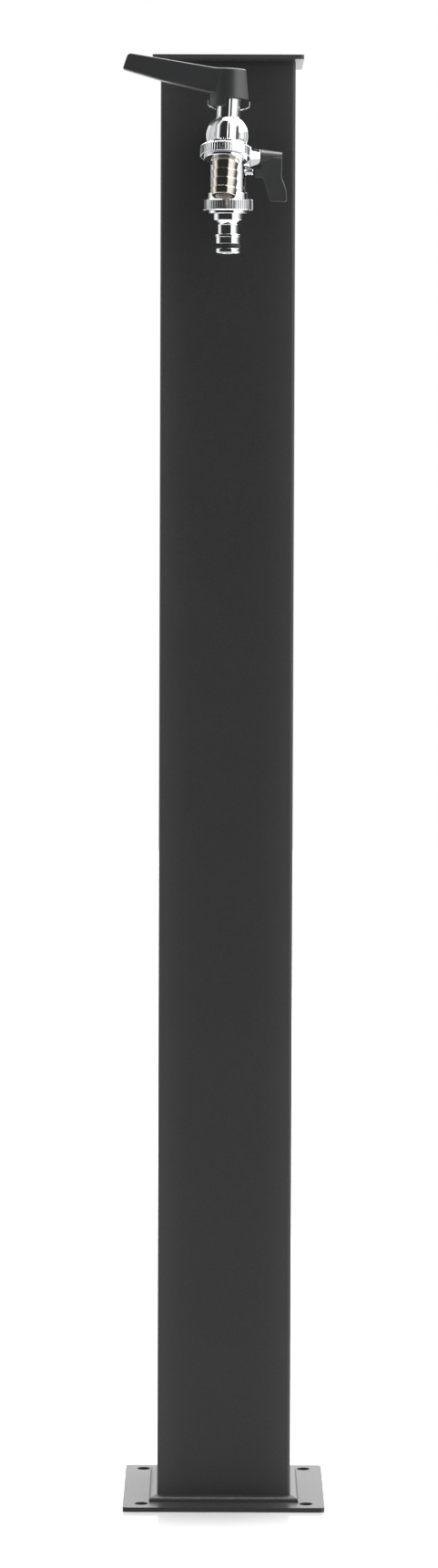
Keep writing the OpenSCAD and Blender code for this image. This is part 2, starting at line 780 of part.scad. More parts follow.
module housing_outside() {
    sphere(r = housing_r);
    translate([0, front_rear_face, 0]) forwards() cylinder(r = rear_collar_r, h = rear_collar_len);
    forwards() rotate_extrude() polygon([[0, front_collar_from], [front_collar_r, front_collar_from],
        [front_collar_r, front_collar_to - front_collar_step], [front_collar_r - front_collar_step, front_collar_to],
        [neck_r, neck_from], [0, neck_from]]);
    forwards() rotate_extrude() polygon([[0, 0], [neck_r, 0], [neck_r, neck_to - neck_round],
        [neck_r - neck_round * round_share, neck_to - neck_round * round_share], [neck_r - neck_round, neck_to], [0, neck_to]]);
    cylinder(r = tower_r, h = tower_h);
    translate([-tower_rib_w / 2, -tower_r - tower_rib_out, housing_r / 2])
        cube([tower_rib_w, tower_r, tower_h - housing_r / 2]);
}

module spout_outside() {
    sphere(r = spout_r);
    translate([0, 0, -spout_thread_from - cut]) cylinder(r = spout_r, h = spout_thread_from + cut);
    translate([0, 0, -spout_face]) cylinder(r = outlet_r, h = spout_face - spout_thread_from);
}

module housing_inside() {
    translate([0, front_rear_face + cut, 0]) forwards()
        cylinder(r = front_pocket_r, h = front_rear_face + front_seat_reach + cut);
    forwards() cylinder(d = front_bore_d, h = spout_reach);
    cylinder(r = front_stem_r + fit_gap, h = tower_h + cut);
    translate([0, 0, tower_h - front_packing_in])
        cylinder(r = front_stem_r + front_packing_wall, h = front_packing_in + cut);
}

module front_ball() {
    color(chrome_color) at_ball() rotate([0, -90, 0])
        valve_ball(front_ball_d / 2, front_bore_d / 2, front_tang_in - fit_gap, tang_t + 2 * fit_gap);
}

module front_ball_seats() {
    color(seat_color) at_ball() forwards() ball_seats(front_ball_d / 2, front_pocket_r - fit_gap,
        front_bore_d / 2, front_seat_reach, front_seat_t);
}

module front_stem() {
    color(brass_color) at_ball() valve_stem(front_stem_r, front_tang_in, front_ball_d / 2 + fit_gap,
        hub_foot_z + cavity_h, front_drive_af, front_drive_len, tang_w_share * front_stem_d, lever_screw_r,
        front_drive_len + cavity_h);
}

module front_stem_seal() {
    color(seat_color) at_ball() translate([0, 0, tower_h - front_packing_in])
        ring(front_stem_r + front_packing_wall - fit_gap, front_stem_r + fit_gap, front_packing_h);
}

module front_gland() {
    nose = front_packing_in - front_packing_h;
    color(brass_color) at_ball() difference() {
        union() {
            translate([0, 0, tower_h - nose])
                cylinder(r = front_stem_r + front_packing_wall - fit_gap, h = nose + fit_gap);
            translate([0, 0, tower_h]) hexagon(gland_head_af, gland_head_h);
        }
        cylinder(r = front_stem_r + fit_gap, h = tower_h + gland_head_h + cut);
    }
}

// Side outline of the arm, from the hub to the tip, and its outline from above
hub_top_z = hub_foot_z + hub_h;
lever_tip_x = -lever_len;
lever_tip_top = hub_top_z + lever_top_rise;
module lever_side(inset) {
    polygon([[0, hub_top_z - inset], [-hub_top_d / 2, hub_top_z - inset],
        [lever_tip_x + lever_tip_lean + inset, lever_tip_top - inset],
        [lever_tip_x + inset, hub_foot_z + arm_tip_share * hub_h - inset],
        [lever_tip_x * arm_bend_shares[0], hub_foot_z + arm_bend_shares[1] * hub_h - inset],
        [-hub_foot_d / 2, hub_foot_z + arm_foot_share * hub_h - inset],
        [0, hub_foot_z + arm_foot_share * hub_h - inset]]);
}

module lever_plan(inset) {
    polygon([[0, -lever_root_w / 2 + inset], [lever_tip_x + inset + hub_edge_r, -lever_tip_w / 2 + inset],
        [lever_tip_x + inset, -lever_tip_w / 2 + inset + hub_edge_r],
        [lever_tip_x + inset, lever_tip_w / 2 - inset - hub_edge_r],
        [lever_tip_x + inset + hub_edge_r, lever_tip_w / 2 - inset], [0, lever_root_w / 2 - inset]]);
}

// Lever handle: a tapering hub with a hollow skirt, longer under the arm, and a solid arm that rises to its tip
module lever_handle() {
    foot_r = hub_foot_d / 2;
    cavity_top = hub_foot_z + cavity_h;
    head_floor = hub_top_z - lever_head_h - lever_head_sink;
    color(plastic_color) at_ball() difference() {
        union() {
            rotate_extrude() polygon([[0, hub_foot_z], [foot_r, hub_foot_z],
                [hub_top_d / 2, hub_top_z - hub_edge_r],
                [hub_top_d / 2 - round_share * hub_edge_r, hub_top_z - round_share * hub_edge_r],
                [hub_top_d / 2 - hub_edge_r, hub_top_z], [0, hub_top_z]]);
            intersection() {
                translate([0, 0, hub_foot_z - skirt_drop]) cylinder(r = foot_r, h = skirt_drop);
                translate([-2 * foot_r - skirt_edge_x, -foot_r, 0]) cube([2 * foot_r, 2 * foot_r, hub_foot_z]);
            }
            intersection() {
                rotate([90, 0, 0]) linear_extrude(2 * foot_r, center = true) lever_side(0);
                linear_extrude(lever_tip_top) lever_plan(0);
            }
        }
        translate([0, 0, hub_foot_z - skirt_drop - cut])
            cylinder(r = foot_r - skirt_wall, h = skirt_drop + cavity_h + cut);
        translate([-front_drive_af / 2 - fit_gap, -front_drive_af / 2 - fit_gap, cavity_top - cut])
            cube([front_drive_af + 2 * fit_gap, front_drive_af + 2 * fit_gap, front_drive_len + fit_gap + cut]);
        cylinder(r = lever_screw_r + fit_gap, h = hub_top_z);
        translate([0, 0, head_floor]) cylinder(r = lever_head_r + fit_gap, h = lever_head_h + lever_head_sink + cut);
    }
}

module lever_screw() {
    color(nickel_color) at_ball() translate([0, 0, hub_top_z - lever_head_h - lever_head_sink])
        cap_screw(lever_screw_r, front_drive_len, lever_head_r, lever_head_h);
}

// Spring wire round the back of the tower, with its two ends bent up beside the lever's hub
module lever_clip() {
    seat_r = tower_r + wire_r + fit_gap;
    ear_y = wire_r / 2;
    color(chrome_color) at_ball() translate([0, 0, clip_z]) {
        rotate_extrude(angle = 180) translate([seat_r, 0]) circle(r = wire_r);
        for (side = [-1, 1]) {
            wire([side * seat_r, ear_y, 0], [side * clip_reach, ear_y, clip_lift]);
            wire([side * clip_reach, ear_y, clip_lift - wire_r], [side * clip_reach, ear_y, clip_lift + clip_end_h]);
        }
    }
}

// Spout fittings, heights down from the centre of the spout's dome
spout_flange_top = -spout_face - outlet_washer_t;
spout_nut_foot = -spout_nut_top - spout_collar_h - spout_knurl_h - spout_foot_h;

module spout_washer() {
    color(rubber_color) at_spout() translate([0, 0, spout_flange_top])
        ring(flange_r, front_bore_d / 2, outlet_washer_t);
}

module spout_union_nut() {
    color(chrome_color) at_spout() translate([0, 0, spout_nut_foot])
        union_nut(spout_collar_r, spout_foot_h, spout_knurl_h, spout_collar_r, spout_collar_h,
            tail_root_r + turn_gap);
}

module hose_tail() {
    bore_r = tail_bore_d / 2;
    barb_r = barb_d / 2;
    root_z = spout_nut_foot - tail_root_len;
    last_z = root_z - (barb_count - 1) * barb_pitch;
    end_r = barb_r - barb_step;
    color(nickel_color) at_spout() rotate_extrude() polygon(concat(
        [[bore_r, spout_flange_top], [flange_r, spout_flange_top],
            [flange_r, spout_nut_foot + spout_foot_h / 2 + fit_gap],
            [tail_root_r, spout_nut_foot + spout_foot_h / 2 + fit_gap], [tail_root_r, root_z]],
        [for (i = [0:barb_count - 2]) for (p = [[0, 0], [0, -barb_land], [-barb_step, -barb_pitch]])
            [barb_r + p[0], root_z - i * barb_pitch + p[1]]],
        [[barb_r, last_z], [barb_r, last_z - barb_land], [end_r, last_z - barb_last_len + tail_end_chamfer],
            [end_r - tail_end_chamfer, last_z - barb_last_len], [bore_r, last_z - barb_last_len]]));
}

column_tube();
base_plate();
base_weld();
lid_plate();
lid_seal();
lid_plug();
riser_pipe();
riser_elbow();
elbow_nut();
inlet_adapter();
adapter_nut();
wall_washer();
wall_backnut();
rear_valve_body();
rear_ball();
rear_ball_seats();
rear_seat_ring();
rear_stem();
rear_stem_seal();
rear_gland_nut();
wing_handle();
wing_screw();
rear_washer();
rear_union_nut();
click_nozzle();
nozzle_o_ring();
front_inlet();
front_valve_body();
front_ball();
front_ball_seats();
front_stem();
front_stem_seal();
front_gland();
lever_handle();
lever_screw();
lever_clip();
spout_washer();
spout_union_nut();
hose_tail();
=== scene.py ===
import json
import math
import bmesh
import bpy
import numpy as np
from mathutils import Matrix, Vector


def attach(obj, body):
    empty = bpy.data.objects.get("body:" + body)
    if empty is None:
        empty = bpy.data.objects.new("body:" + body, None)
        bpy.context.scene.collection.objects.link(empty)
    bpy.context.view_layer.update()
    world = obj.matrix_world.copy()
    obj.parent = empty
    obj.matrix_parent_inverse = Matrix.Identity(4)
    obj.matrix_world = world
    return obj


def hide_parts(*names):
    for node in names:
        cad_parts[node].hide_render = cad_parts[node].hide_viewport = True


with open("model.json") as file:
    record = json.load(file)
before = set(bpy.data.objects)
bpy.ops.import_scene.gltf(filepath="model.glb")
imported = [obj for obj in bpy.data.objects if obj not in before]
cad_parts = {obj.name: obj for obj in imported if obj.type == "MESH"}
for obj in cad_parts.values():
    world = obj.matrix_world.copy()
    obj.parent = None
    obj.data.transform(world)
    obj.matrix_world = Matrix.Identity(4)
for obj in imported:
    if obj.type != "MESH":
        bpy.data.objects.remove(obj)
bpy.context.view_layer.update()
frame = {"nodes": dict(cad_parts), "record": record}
nodes = frame["nodes"]
mm = 0.001
print("frame loaded:", len(nodes), "CAD nodes")

# fitted to the column's edges, the lid and the plate in the photo: millimetres, degrees and pixels
view = {"place": (-3.8, -3342.0, 733.9), "pitch": -2.909, "yaw": 0.019, "roll": -0.188,
        "focal": 5405.0, "middle": 734.3, "height": 1722.0, "sensor": 36, "near": 0.1, "far": 30}


def turned(axis, degrees):
    # rotation matrix about x, y or z
    c, s = math.cos(math.radians(degrees)), math.sin(math.radians(degrees))
    return np.array({"x": [[1, 0, 0], [0, c, -s], [0, s, c]],
                     "y": [[c, 0, s], [0, 1, 0], [-s, 0, c]],
                     "z": [[c, -s, 0], [s, c, 0], [0, 0, 1]]}[axis], float)


def makeCamera():
    look = turned("z", view["yaw"]) @ turned("x", view["pitch"]) @ turned("y", view["roll"])
    columns = np.stack([look[:, 0], look[:, 2], -look[:, 1]], 1)  # right, up, back
    data = bpy.data.cameras.new("photoCamera")
    data.sensor_width = view["sensor"]
    data.lens = view["focal"] / view["height"] * data.sensor_width
    data.shift_y = (view["middle"] - view["height"] / 2) / view["height"]
    data.clip_start, data.clip_end = view["near"], view["far"]
    camera = bpy.data.objects.new("photoCamera", data)
    place = Matrix.Translation([v * mm for v in view["place"]])
    camera.matrix_world = place @ Matrix(columns.tolist()).to_4x4()
    bpy.context.scene.collection.objects.link(camera)
    bpy.context.scene.camera = camera


makeCamera()
bpy.context.scene.view_settings.view_transform = "Standard"
print("camera placed")


def linear(code):
    # sRGB hex to linear colour
    parts = [int(code[i:i + 2], 16) / 255 for i in (1, 3, 5)]
    return [p / 12.92 if p <= 0.04045 else ((p + 0.055) / 1.055) ** 2.4 for p in parts] + [1.0]


def addNode(tree, kind, settings=None, inputs=None):
    # one node with its settings; each input is given a value, or the socket that feeds it
    node = tree.nodes.new(kind)
    for name, value in (settings or {}).items():
        setattr(node, name, value)
    for name, value in (inputs or {}).items():
        if isinstance(value, bpy.types.NodeSocket):
            tree.links.new(value, node.inputs[name])
        else:
            node.inputs[name].default_value = value
    return node


def newMaterial(name):
    material = bpy.data.materials.new(name)
    material.use_nodes = True
    tree = material.node_tree
    tree.nodes.clear()
    return material, tree, addNode(tree, "ShaderNodeTexCoord").outputs["Object"]


# nearly all of a noise's values lie between these two
noiseLow, noiseHigh = 0.3, 0.7

# grit is 0.3 to 0.5 mm on the real coat, drawn at about 0.9 mm so that it shows
powder = {"low": "#1b1b1c", "high": "#313132", "gritScale": 1100.0, "gritDetail": 3.0, "gritRoughness": 0.6,
          "cloudScale": 14.0, "cloudDetail": 3.0, "cloudLow": 0.35, "cloudHigh": 0.65,
          "blotchShare": 0.2, "blotchTone": (0.6, 0.6, 0.6, 1), "smoothest": 0.3, "roughest": 0.4,
          "bump": 0.35, "bumpDepth": 0.0001, "specular": 0.3, "ior": 1.5,
          "edgeSheenTone": "#4c4c4d", "tubeHalf": 0.045, "edgePower": 4.0, "edgeShare": 0.3}


def powderCoat(name, low=powder["low"], high=powder["high"], paintedEdgeSheen=False):
    # polyester powder on steel with a fine matt texture: dark charcoal, and its pebbled skin scatters light
    p = powder
    material, tree, coords = newMaterial(name)
    grit = addNode(tree, "ShaderNodeTexNoise", None,
                   {"Vector": coords, "Scale": p["gritScale"], "Detail": p["gritDetail"],
                    "Roughness": p["gritRoughness"]}).outputs["Fac"]
    cloud = addNode(tree, "ShaderNodeTexNoise", None,
                    {"Vector": coords, "Scale": p["cloudScale"], "Detail": p["cloudDetail"]}).outputs["Fac"]
    speck = addNode(tree, "ShaderNodeMix", {"data_type": "RGBA"},
                    {"Factor": grit, "A": linear(low), "B": linear(high)}).outputs[2]
    blotch = addNode(tree, "ShaderNodeMapRange", None,
                     {"Value": cloud, "From Min": p["cloudLow"], "From Max": p["cloudHigh"],
                      "To Min": 0.0, "To Max": p["blotchShare"]}).outputs["Result"]
    colour = addNode(tree, "ShaderNodeMix", {"data_type": "RGBA", "blend_type": "MULTIPLY"},
                     {"Factor": blotch, "A": speck, "B": p["blotchTone"]}).outputs[2]
    if paintedEdgeSheen:
        # painted sheen: on a square tube the colour is made paler towards the long edges, where the smaller
        # of |x| and |y| comes close to half the tube's width; it stands in for the side lights' reflection
        # there, not a thinner coat
        split = addNode(tree, "ShaderNodeSeparateXYZ", None, {"Vector": coords})
        across = [addNode(tree, "ShaderNodeMath", {"operation": "ABSOLUTE"}, {0: split.outputs[axis]})
                  for axis in ("X", "Y")]
        smaller = addNode(tree, "ShaderNodeMath", {"operation": "MINIMUM"},
                          {i: node.outputs[0] for i, node in enumerate(across)}).outputs[0]
        pale = addNode(tree, "ShaderNodeMapRange", None, {"Value": smaller, "From Max": p["tubeHalf"]})
        curve = addNode(tree, "ShaderNodeMath", {"operation": "POWER"},
                        {0: pale.outputs["Result"], 1: p["edgePower"]}).outputs[0]
        share = addNode(tree, "ShaderNodeMath", {"operation": "MULTIPLY"},
                        {0: curve, 1: p["edgeShare"]}).outputs[0]
        colour = addNode(tree, "ShaderNodeMix", {"data_type": "RGBA"},
                         {"Factor": share, "A": colour, "B": linear(p["edgeSheenTone"])}).outputs[2]
    dull = addNode(tree, "ShaderNodeMapRange", None,
                   {"Value": grit, "From Min": noiseLow, "From Max": noiseHigh,
                    "To Min": p["smoothest"], "To Max": p["roughest"]}).outputs["Result"]
    bump = addNode(tree, "ShaderNodeBump", None,
                   {"Height": grit, "Strength": p["bump"], "Distance": p["bumpDepth"]}).outputs["Normal"]
    shader = addNode(tree, "ShaderNodeBsdfPrincipled", None,
                     {"Base Color": colour, "Roughness": dull, "Normal": bump,
                      "Specular IOR Level": p["specular"], "IOR": p["ior"]})
    addNode(tree, "ShaderNodeOutputMaterial", None, {"Surface": shader.outputs[0]})
    return material


plating = {"cloudScale": 90.0, "cloudDetail": 4.0, "waveDetail": 1.0, "bump": 0.3}


def plated(name, high, low, smoothest, roughest, wave, waveScale):
    # a metal surface: colour between two tones, roughness that wanders, and a faint wave left by polishing
    material, tree, coords = newMaterial(name)
    cloud = addNode(tree, "ShaderNodeTexNoise", None,
                    {"Vector": coords, "Scale": plating["cloudScale"],
                     "Detail": plating["cloudDetail"]}).outputs["Fac"]
    colour = addNode(tree, "ShaderNodeMix", {"data_type": "RGBA"},
                     {"Factor": cloud, "A": linear(low), "B": linear(high)}).outputs[2]
    dull = addNode(tree, "ShaderNodeMapRange", None,
                   {"Value": cloud, "From Min": noiseLow, "From Max": noiseHigh,
                    "To Min": smoothest, "To Max": roughest}).outputs["Result"]
    swell = addNode(tree, "ShaderNodeTexNoise", None,
                    {"Vector": coords, "Scale": waveScale, "Detail": plating["waveDetail"]}).outputs["Fac"]
    bump = addNode(tree, "ShaderNodeBump", None,
                   {"Height": swell, "Strength": plating["bump"], "Distance": wave}).outputs["Normal"]
    shader = addNode(tree, "ShaderNodeBsdfPrincipled", None,
                     {"Base Color": colour, "Roughness": dull, "Normal": bump, "Metallic": 1.0})
    addNode(tree, "ShaderNodeOutputMaterial", None, {"Surface": shader.outputs[0]})
    return material


moulding = {"detail": 3.0, "noiseRoughness": 0.55, "spread": 0.1, "bump": 0.5, "ior": 1.5}


def moulded(name, high, low, smoothest, grain, depth, specular):
    # a moulded polymer: fine grain in its skin, roughness that wanders a little
    material, tree, coords = newMaterial(name)
    skin = addNode(tree, "ShaderNodeTexNoise", None,
                   {"Vector": coords, "Scale": 1 / grain, "Detail": moulding["detail"],
                    "Roughness": moulding["noiseRoughness"]}).outputs["Fac"]
    colour = addNode(tree, "ShaderNodeMix", {"data_type": "RGBA"},
                     {"Factor": skin, "A": linear(low), "B": linear(high)}).outputs[2]
    dull = addNode(tree, "ShaderNodeMapRange", None,
                   {"Value": skin, "From Min": noiseLow, "From Max": noiseHigh,
                    "To Min": smoothest, "To Max": smoothest + moulding["spread"]}).outputs["Result"]
    bump = addNode(tree, "ShaderNodeBump", None,
                   {"Height": skin, "Strength": moulding["bump"], "Distance": depth}).outputs["Normal"]
    shader = addNode(tree, "ShaderNodeBsdfPrincipled", None,
                     {"Base Color": colour, "Roughness": dull, "Normal": bump,
                      "Specular IOR Level": specular, "IOR": moulding["ior"]})
    addNode(tree, "ShaderNodeOutputMaterial", None, {"Surface": shader.outputs[0]})
    return material


finishes = {
    "powder_coat": powderCoat("powderCoatCharcoal"),
    # the coat with a painted sheen towards the tube's long edges
    "tube_coat": powderCoat("powderCoatCharcoalTube", paintedEdgeSheen=True),
    # the same coat painted a shade paler for the lid: painted light, for the light its narrow edge catches
    "lid_coat": powderCoat("powderCoatCharcoalLidPaintedLight", low="#303031", high="#3b3b3c"),
    # bright chrome over nickel on cast and turned brass: a cool mirror, slightly waved by the polishing wheel
    "chrome_plate": plated("polishedChrome", high="#e0e1e3", low="#d1d2d4", smoothest=0.05, roughest=0.1,
                           wave=0.00006, waveScale=160.0),
    # nickel without chrome, turned and barrelled: warm grey, softer mirror
    "nickel_plate": plated("satinNickel", high="#d3cdc3", low="#c4bdb2", smoothest=0.08, roughest=0.14,
                           wave=0.00003, waveScale=300.0),
    # the same nickel inside a bore, over the dull surface that the drill left: pale, with no clear reflection
    "nickel_in_bore": plated("dullNickelBore", high="#d8d5ce", low="#bbb8b2", smoothest=0.6, roughest=0.7,
                             wave=0.00005, waveScale=500.0),
    # bare turned brass and drawn copper: warm, with a blurred shine
    "brass": plated("machinedBrass", high="#cda95c", low="#b8924a", smoothest=0.22, roughest=0.34,
                    wave=0.00003, waveScale=400.0),
    "copper": plated("drawnCopper", high="#c07e58", low="#9c5f41", smoothest=0.28, roughest=0.42,
                     wave=0.00004, waveScale=200.0),
    # zinc on steel screws: cool grey, satin
    "steel": plated("zincPlatedSteel", high="#a9acb0", low="#8f9296", smoothest=0.25, roughest=0.4,
                    wave=0.00003, waveScale=300.0),
    # glass-filled nylon from a spark-eroded mould: near black, with a soft broad highlight;
    # its grain is 0.2 mm, drawn at 0.5 mm so that it shows
    "black_plastic": moulded("mouldedNylon", high="#242526", low="#1c1d1e", smoothest=0.38, grain=0.0005,
                             depth=0.00003, specular=0.65),
    # moulded nitrile rubber: matt black with a dusty bloom
    "black_rubber": moulded("nitrileRubber", high="#1b1c1e", low="#121314", smoothest=0.55, grain=0.0008,
                            depth=0.00003, specular=0.35),
    # the same rubber painted paler for the lid's seal: painted light, lifting the thin line that lies in
    # shade under the lid
    "seal_rubber": moulded("paleNitrileSealPaintedLight", high="#4a4a4b", low="#3c3c3d", smoothest=0.7, grain=0.0008,
                           depth=0.00003, specular=0.35),
    # turned seats of unfilled fluoropolymer: clean white, waxy
    "white_ptfe": moulded("turnedPtfe", high="#f0f0ec", low="#e4e4e0", smoothest=0.35, grain=0.0006,
                          depth=0.00002, specular=0.5),
}
print("materials made:", len(finishes))

# degrees and millimetres: what is under "none" counts as nothing, and points within "same" as one point
softening = {"straightFrom": 179.5, "sideShare": 0.48, "lead": 0.04, "leadShare": 0.2, "none": 1e-6,
             "same": 1e-5}
tiny = 1e-9  # keeps a length that is divided by away from zero


def softened(points, radii, steps=5, closed=True):
    # each corner becomes an arc tangent to both its sides; radius 0 leaves the corner as it is.
    # centre = corner + bisector * r / sin(half angle), and the arc is a slerp between its two touching points
    k = softening
    p = np.array(points, float)
    r = np.broadcast_to(np.array(radii, float), (len(p),)).copy()
    if not closed:
        r[[0, -1]] = 0
    a, b = np.roll(p, 1, 0) - p, np.roll(p, -1, 0) - p
    la, lb = np.linalg.norm(a, axis=1), np.linalg.norm(b, axis=1)
    a, b = a / la[:, None], b / lb[:, None]
    angle = np.arccos(np.clip((a * b).sum(1), -1, 1))
    straight = angle > math.radians(k["straightFrom"])
    half = np.where(straight, 1.0, angle / 2)
    touch = np.minimum(r / np.tan(half), k["sideShare"] * np.minimum(la, lb))
    touch = np.where(straight, 0, touch)
    r = touch * np.tan(half)
    middle = a + b
    middle = middle / np.maximum(np.linalg.norm(middle, axis=1), tiny)[:, None]
    centre = p + middle * (r / np.sin(half))[:, None]
    start, end = p + a * touch[:, None] - centre, p + b * touch[:, None] - centre
    sweep = np.maximum(math.pi - angle, k["none"])[:, None, None]
    s = np.linspace(0, 1, steps)[None, :, None]
    slerp = (np.sin((1 - s) * sweep) * start[:, None] + np.sin(s * sweep) * end[:, None]) / np.sin(sweep)
    rounded = touch > k["none"]
    arc = np.where(rounded[:, None, None], centre[:, None] + slerp, p[:, None])
    # a point a little way along each side keeps the flats flat in shading
    lead = np.minimum(k["lead"], k["leadShare"] * np.minimum(la, lb))[:, None] * rounded[:, None]
    rows = [(arc[:, 0] + a * lead)[:, None], arc, (arc[:, -1] + b * lead)[:, None]]
    rows = np.concatenate(rows, 1).reshape(-1, p.shape[1])
    keep = np.linalg.norm(rows - np.roll(rows, 1, 0), axis=1) > k["same"]
    keep[0] = True
    return rows[keep]


def lathe(profile, turns=96):
    # (r, z) points turned about z: x = r cos t, y = r sin t
    t = np.linspace(0, 2 * math.pi, turns, endpoint=False)
    r, z = profile[:, 0][:, None], profile[:, 1][:, None]
    return np.stack([r * np.cos(t), r * np.sin(t), z + 0 * t], -1)


def gridFaces(rows, columns, wrapRows, wrapColumns):
    # quads between neighbours of a grid of vertices
    i, j = np.arange(rows if wrapRows else rows - 1), np.arange(columns if wrapColumns else columns - 1)
    i, j = np.meshgrid(i, j, indexing="ij")
    n, m = (i + 1) % rows, (j + 1) % columns
    return np.stack([i * columns + j, i * columns + m, n * columns + m, n * columns + j], -1).reshape(-1, 4)


def shell(grid, wrapRows=False, wrapColumns=True, cap=None):
    # (vertices, quads, big faces) of one grid; cap "flat" closes its first and last row with one face each,
    # and "point" draws them together in their middle
    if cap == "point":
        grid = np.concatenate([np.broadcast_to(grid[0].mean(0), grid[:1].shape), grid,
                               np.broadcast_to(grid[-1].mean(0), grid[:1].shape)])
    rows, columns = grid.shape[:2]
    lids = np.arange(columns)[None] + np.array([[0], [(rows - 1) * columns]]) if cap == "flat" else []
    return grid.reshape(-1, 3), gridFaces(rows, columns, wrapRows, wrapColumns), lids


def moved(points, place):
    # from a piece's own millimetres to those of what carries it
    origin, turn = place
    return points @ turn.T + origin


def movedShell(part, place):
    points, quads, lids = part
    return moved(points, place), quads, lids


# vertices closer than the first become one, and edges shorter than the second go: metres
weldWithin, dropUnder = 1e-7, 1e-8


def makePiece(name, place, shells, body, finish, stands=(), smooth=30, coat=None):
    # several closed shells in one mesh, welded, turned outwards and shaded smooth up to an angle;
    # coat names a material of its own for a piece of that finish
    vertices, faces, start = [], [], 0
    for points, quads, lids in shells:
        vertices.append(moved(points, place) * mm)
        faces += (quads + start).tolist() + [(lid + start).tolist() for lid in lids]
        start += len(points)
    mesh = bpy.data.meshes.new(name)
    mesh.from_pydata(np.concatenate(vertices).tolist(), [], faces)
    work = bmesh.new()
    work.from_mesh(mesh)
    bmesh.ops.remove_doubles(work, verts=work.verts, dist=weldWithin)
    bmesh.ops.dissolve_degenerate(work, edges=work.edges, dist=dropUnder)
    bmesh.ops.recalc_face_normals(work, faces=work.faces)
    for edge in work.edges:
        edge.smooth = edge.calc_face_angle(0.0) < math.radians(smooth)
    for face in work.faces:
        face.smooth = True
    work.to_mesh(mesh)
    work.free()
    mesh.materials.append(finishes[coat or finish])
    piece = bpy.data.objects.new(name, mesh)
    bpy.context.scene.collection.objects.link(piece)
    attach(piece, body)
    if stands:
        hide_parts(*stands)


tap = {"rearY": -73.0, "runZ": 918.0, "frontReach": 44.0, "roll": 2.6, "yaw": 0.8,
       "spoutReach": 23.0, "spoutRise": 3.3, "spoutTilt": 14.5, "spoutEnd": 17.0, "spoutShoulder": 10.7,
       "wingDrop": 11.5, "rearEndDrop": 44.4, "washer": 1.6}

upright = np.eye(3)
frontTurn = turned("z", -tap["yaw"]) @ turned("y", tap["roll"])
spoutLean = turned("x", -tap["spoutTilt"])
forwards = turned("x", 90)
sideways = turned("y", 90)
spoutOffset = np.array([0, -tap["spoutReach"], tap["spoutRise"]])
runPoint = np.array([0, tap["rearY"], tap["runZ"]])
wingPoint = runPoint - [0, 0, tap["wingDrop"]]
ballPoint = runPoint + frontTurn @ [0, -tap["frontReach"], 0]
atRun = (runPoint, upright)
atBall = (ballPoint, frontTurn)
atSpout = (ballPoint + frontTurn @ spoutOffset, frontTurn @ spoutLean)
atWingStem = (wingPoint, sideways)
atRearEnd = (runPoint - [0, 0, tap["rearEndDrop"]], upright)

weld = {"inner": 45.0, "foot": 3.0, "leg": 5.5, "rise": 3.9, "perSide": 60,
        "bead": [[1, 0], [0.985, 0.14], [0.93, 0.32], [0.83, 0.51], [0.69, 0.69], [0.51, 0.83],
                 [0.32, 0.93], [0.14, 0.985], [0, 1], [0, 0]]}


def makeWeld():
    # the bead's quarter-round profile carried round the column's square, mitred at the corners
    s = np.linspace(-1, 1, weld["perSide"], endpoint=False)
    one = np.ones_like(s)
    sides = [np.stack([s, -one], 1), np.stack([one, s], 1), np.stack([-s, one], 1), np.stack([-one, -s], 1)]
    around = np.concatenate(sides)
    share = np.array(weld["bead"])
    out = weld["inner"] + share[:, 0] * weld["leg"]
    up = weld["foot"] + share[:, 1] * weld["rise"]
    height = np.broadcast_to(up[:, None, None], (len(up), len(around), 1))
    grid = np.concatenate([around[None] * out[:, None, None], height], 2)
    makePiece("weldBead", (np.zeros(3), upright), [shell(grid, wrapRows=True)], "post", "powder_coat",
              ["base_weld"])


makeWeld()
print("weld bead made")

unionNut = {"radius": 16.45, "bore": 12.73, "chamfer": 0.5, "ribs": 60, "perRib": 12, "ribDepth": 0.75,
            "flatShare": 0.2, "stepShare": 0.16, "fade": 0.3, "margin": 0.01,
            "soft": [0.15, 0.45, 0.15, 0.1, 0.12, 0.12, 0.1, 0.15, 0.4, 0.15, 0.05, 0.05]}
spoutNut = {"footRadius": 14.0, "foot": 1.8, "band": 6.7, "headRadius": 14.0, "head": 2.1, "lipRadius": 9.08}
rearNut = {"footRadius": 13.4, "foot": 2.3, "band": 7.2, "headRadius": 13.85, "head": 4.4, "lipRadius": 10.23}


def makeNut(name, place, body, node, nut):
    # a closed profile turned about z; on the band the radius sinks by ribDepth between the ribs,
    # with a groove that is a smooth step down, a flat and a smooth step up over each rib's turn
    u = unionNut
    foot, r, c = nut["foot"], u["radius"], u["chamfer"]
    lip, top = foot / 2, foot + nut["band"]
    end = top + nut["head"]
    points = [(nut["lipRadius"], 0), (nut["footRadius"], 0), (nut["footRadius"], foot), (r - c, foot),
              (r, foot + c), (r, top - c), (r - c, top), (nut["headRadius"], top), (nut["headRadius"], end),
              (u["bore"], end), (u["bore"], lip), (nut["lipRadius"], lip)]
    profile = softened(points, u["soft"], 4)
    count = u["ribs"] * u["perRib"]
    grid = lathe(profile, count)
    phase = np.arange(count) / u["perRib"] % 1
    rise = np.clip((np.abs(phase - 0.5) - u["flatShare"]) / u["stepShare"], 0, 1)
    groove = rise * rise * (3 - 2 * rise)
    onBand = np.clip((profile[:, 0] - (r - c - u["fade"])) / u["fade"], 0, 1)
    onBand[(profile[:, 1] < foot - u["margin"]) | (profile[:, 1] > top + u["margin"])] = 0
    sunk = onBand[:, None] * groove[None] * u["ribDepth"]
    grid[..., :2] *= (1 - sunk / np.maximum(profile[:, 0], 1)[:, None])[..., None]
    makePiece(name, place, [shell(grid, wrapRows=True)], body, "chrome_plate", [node])


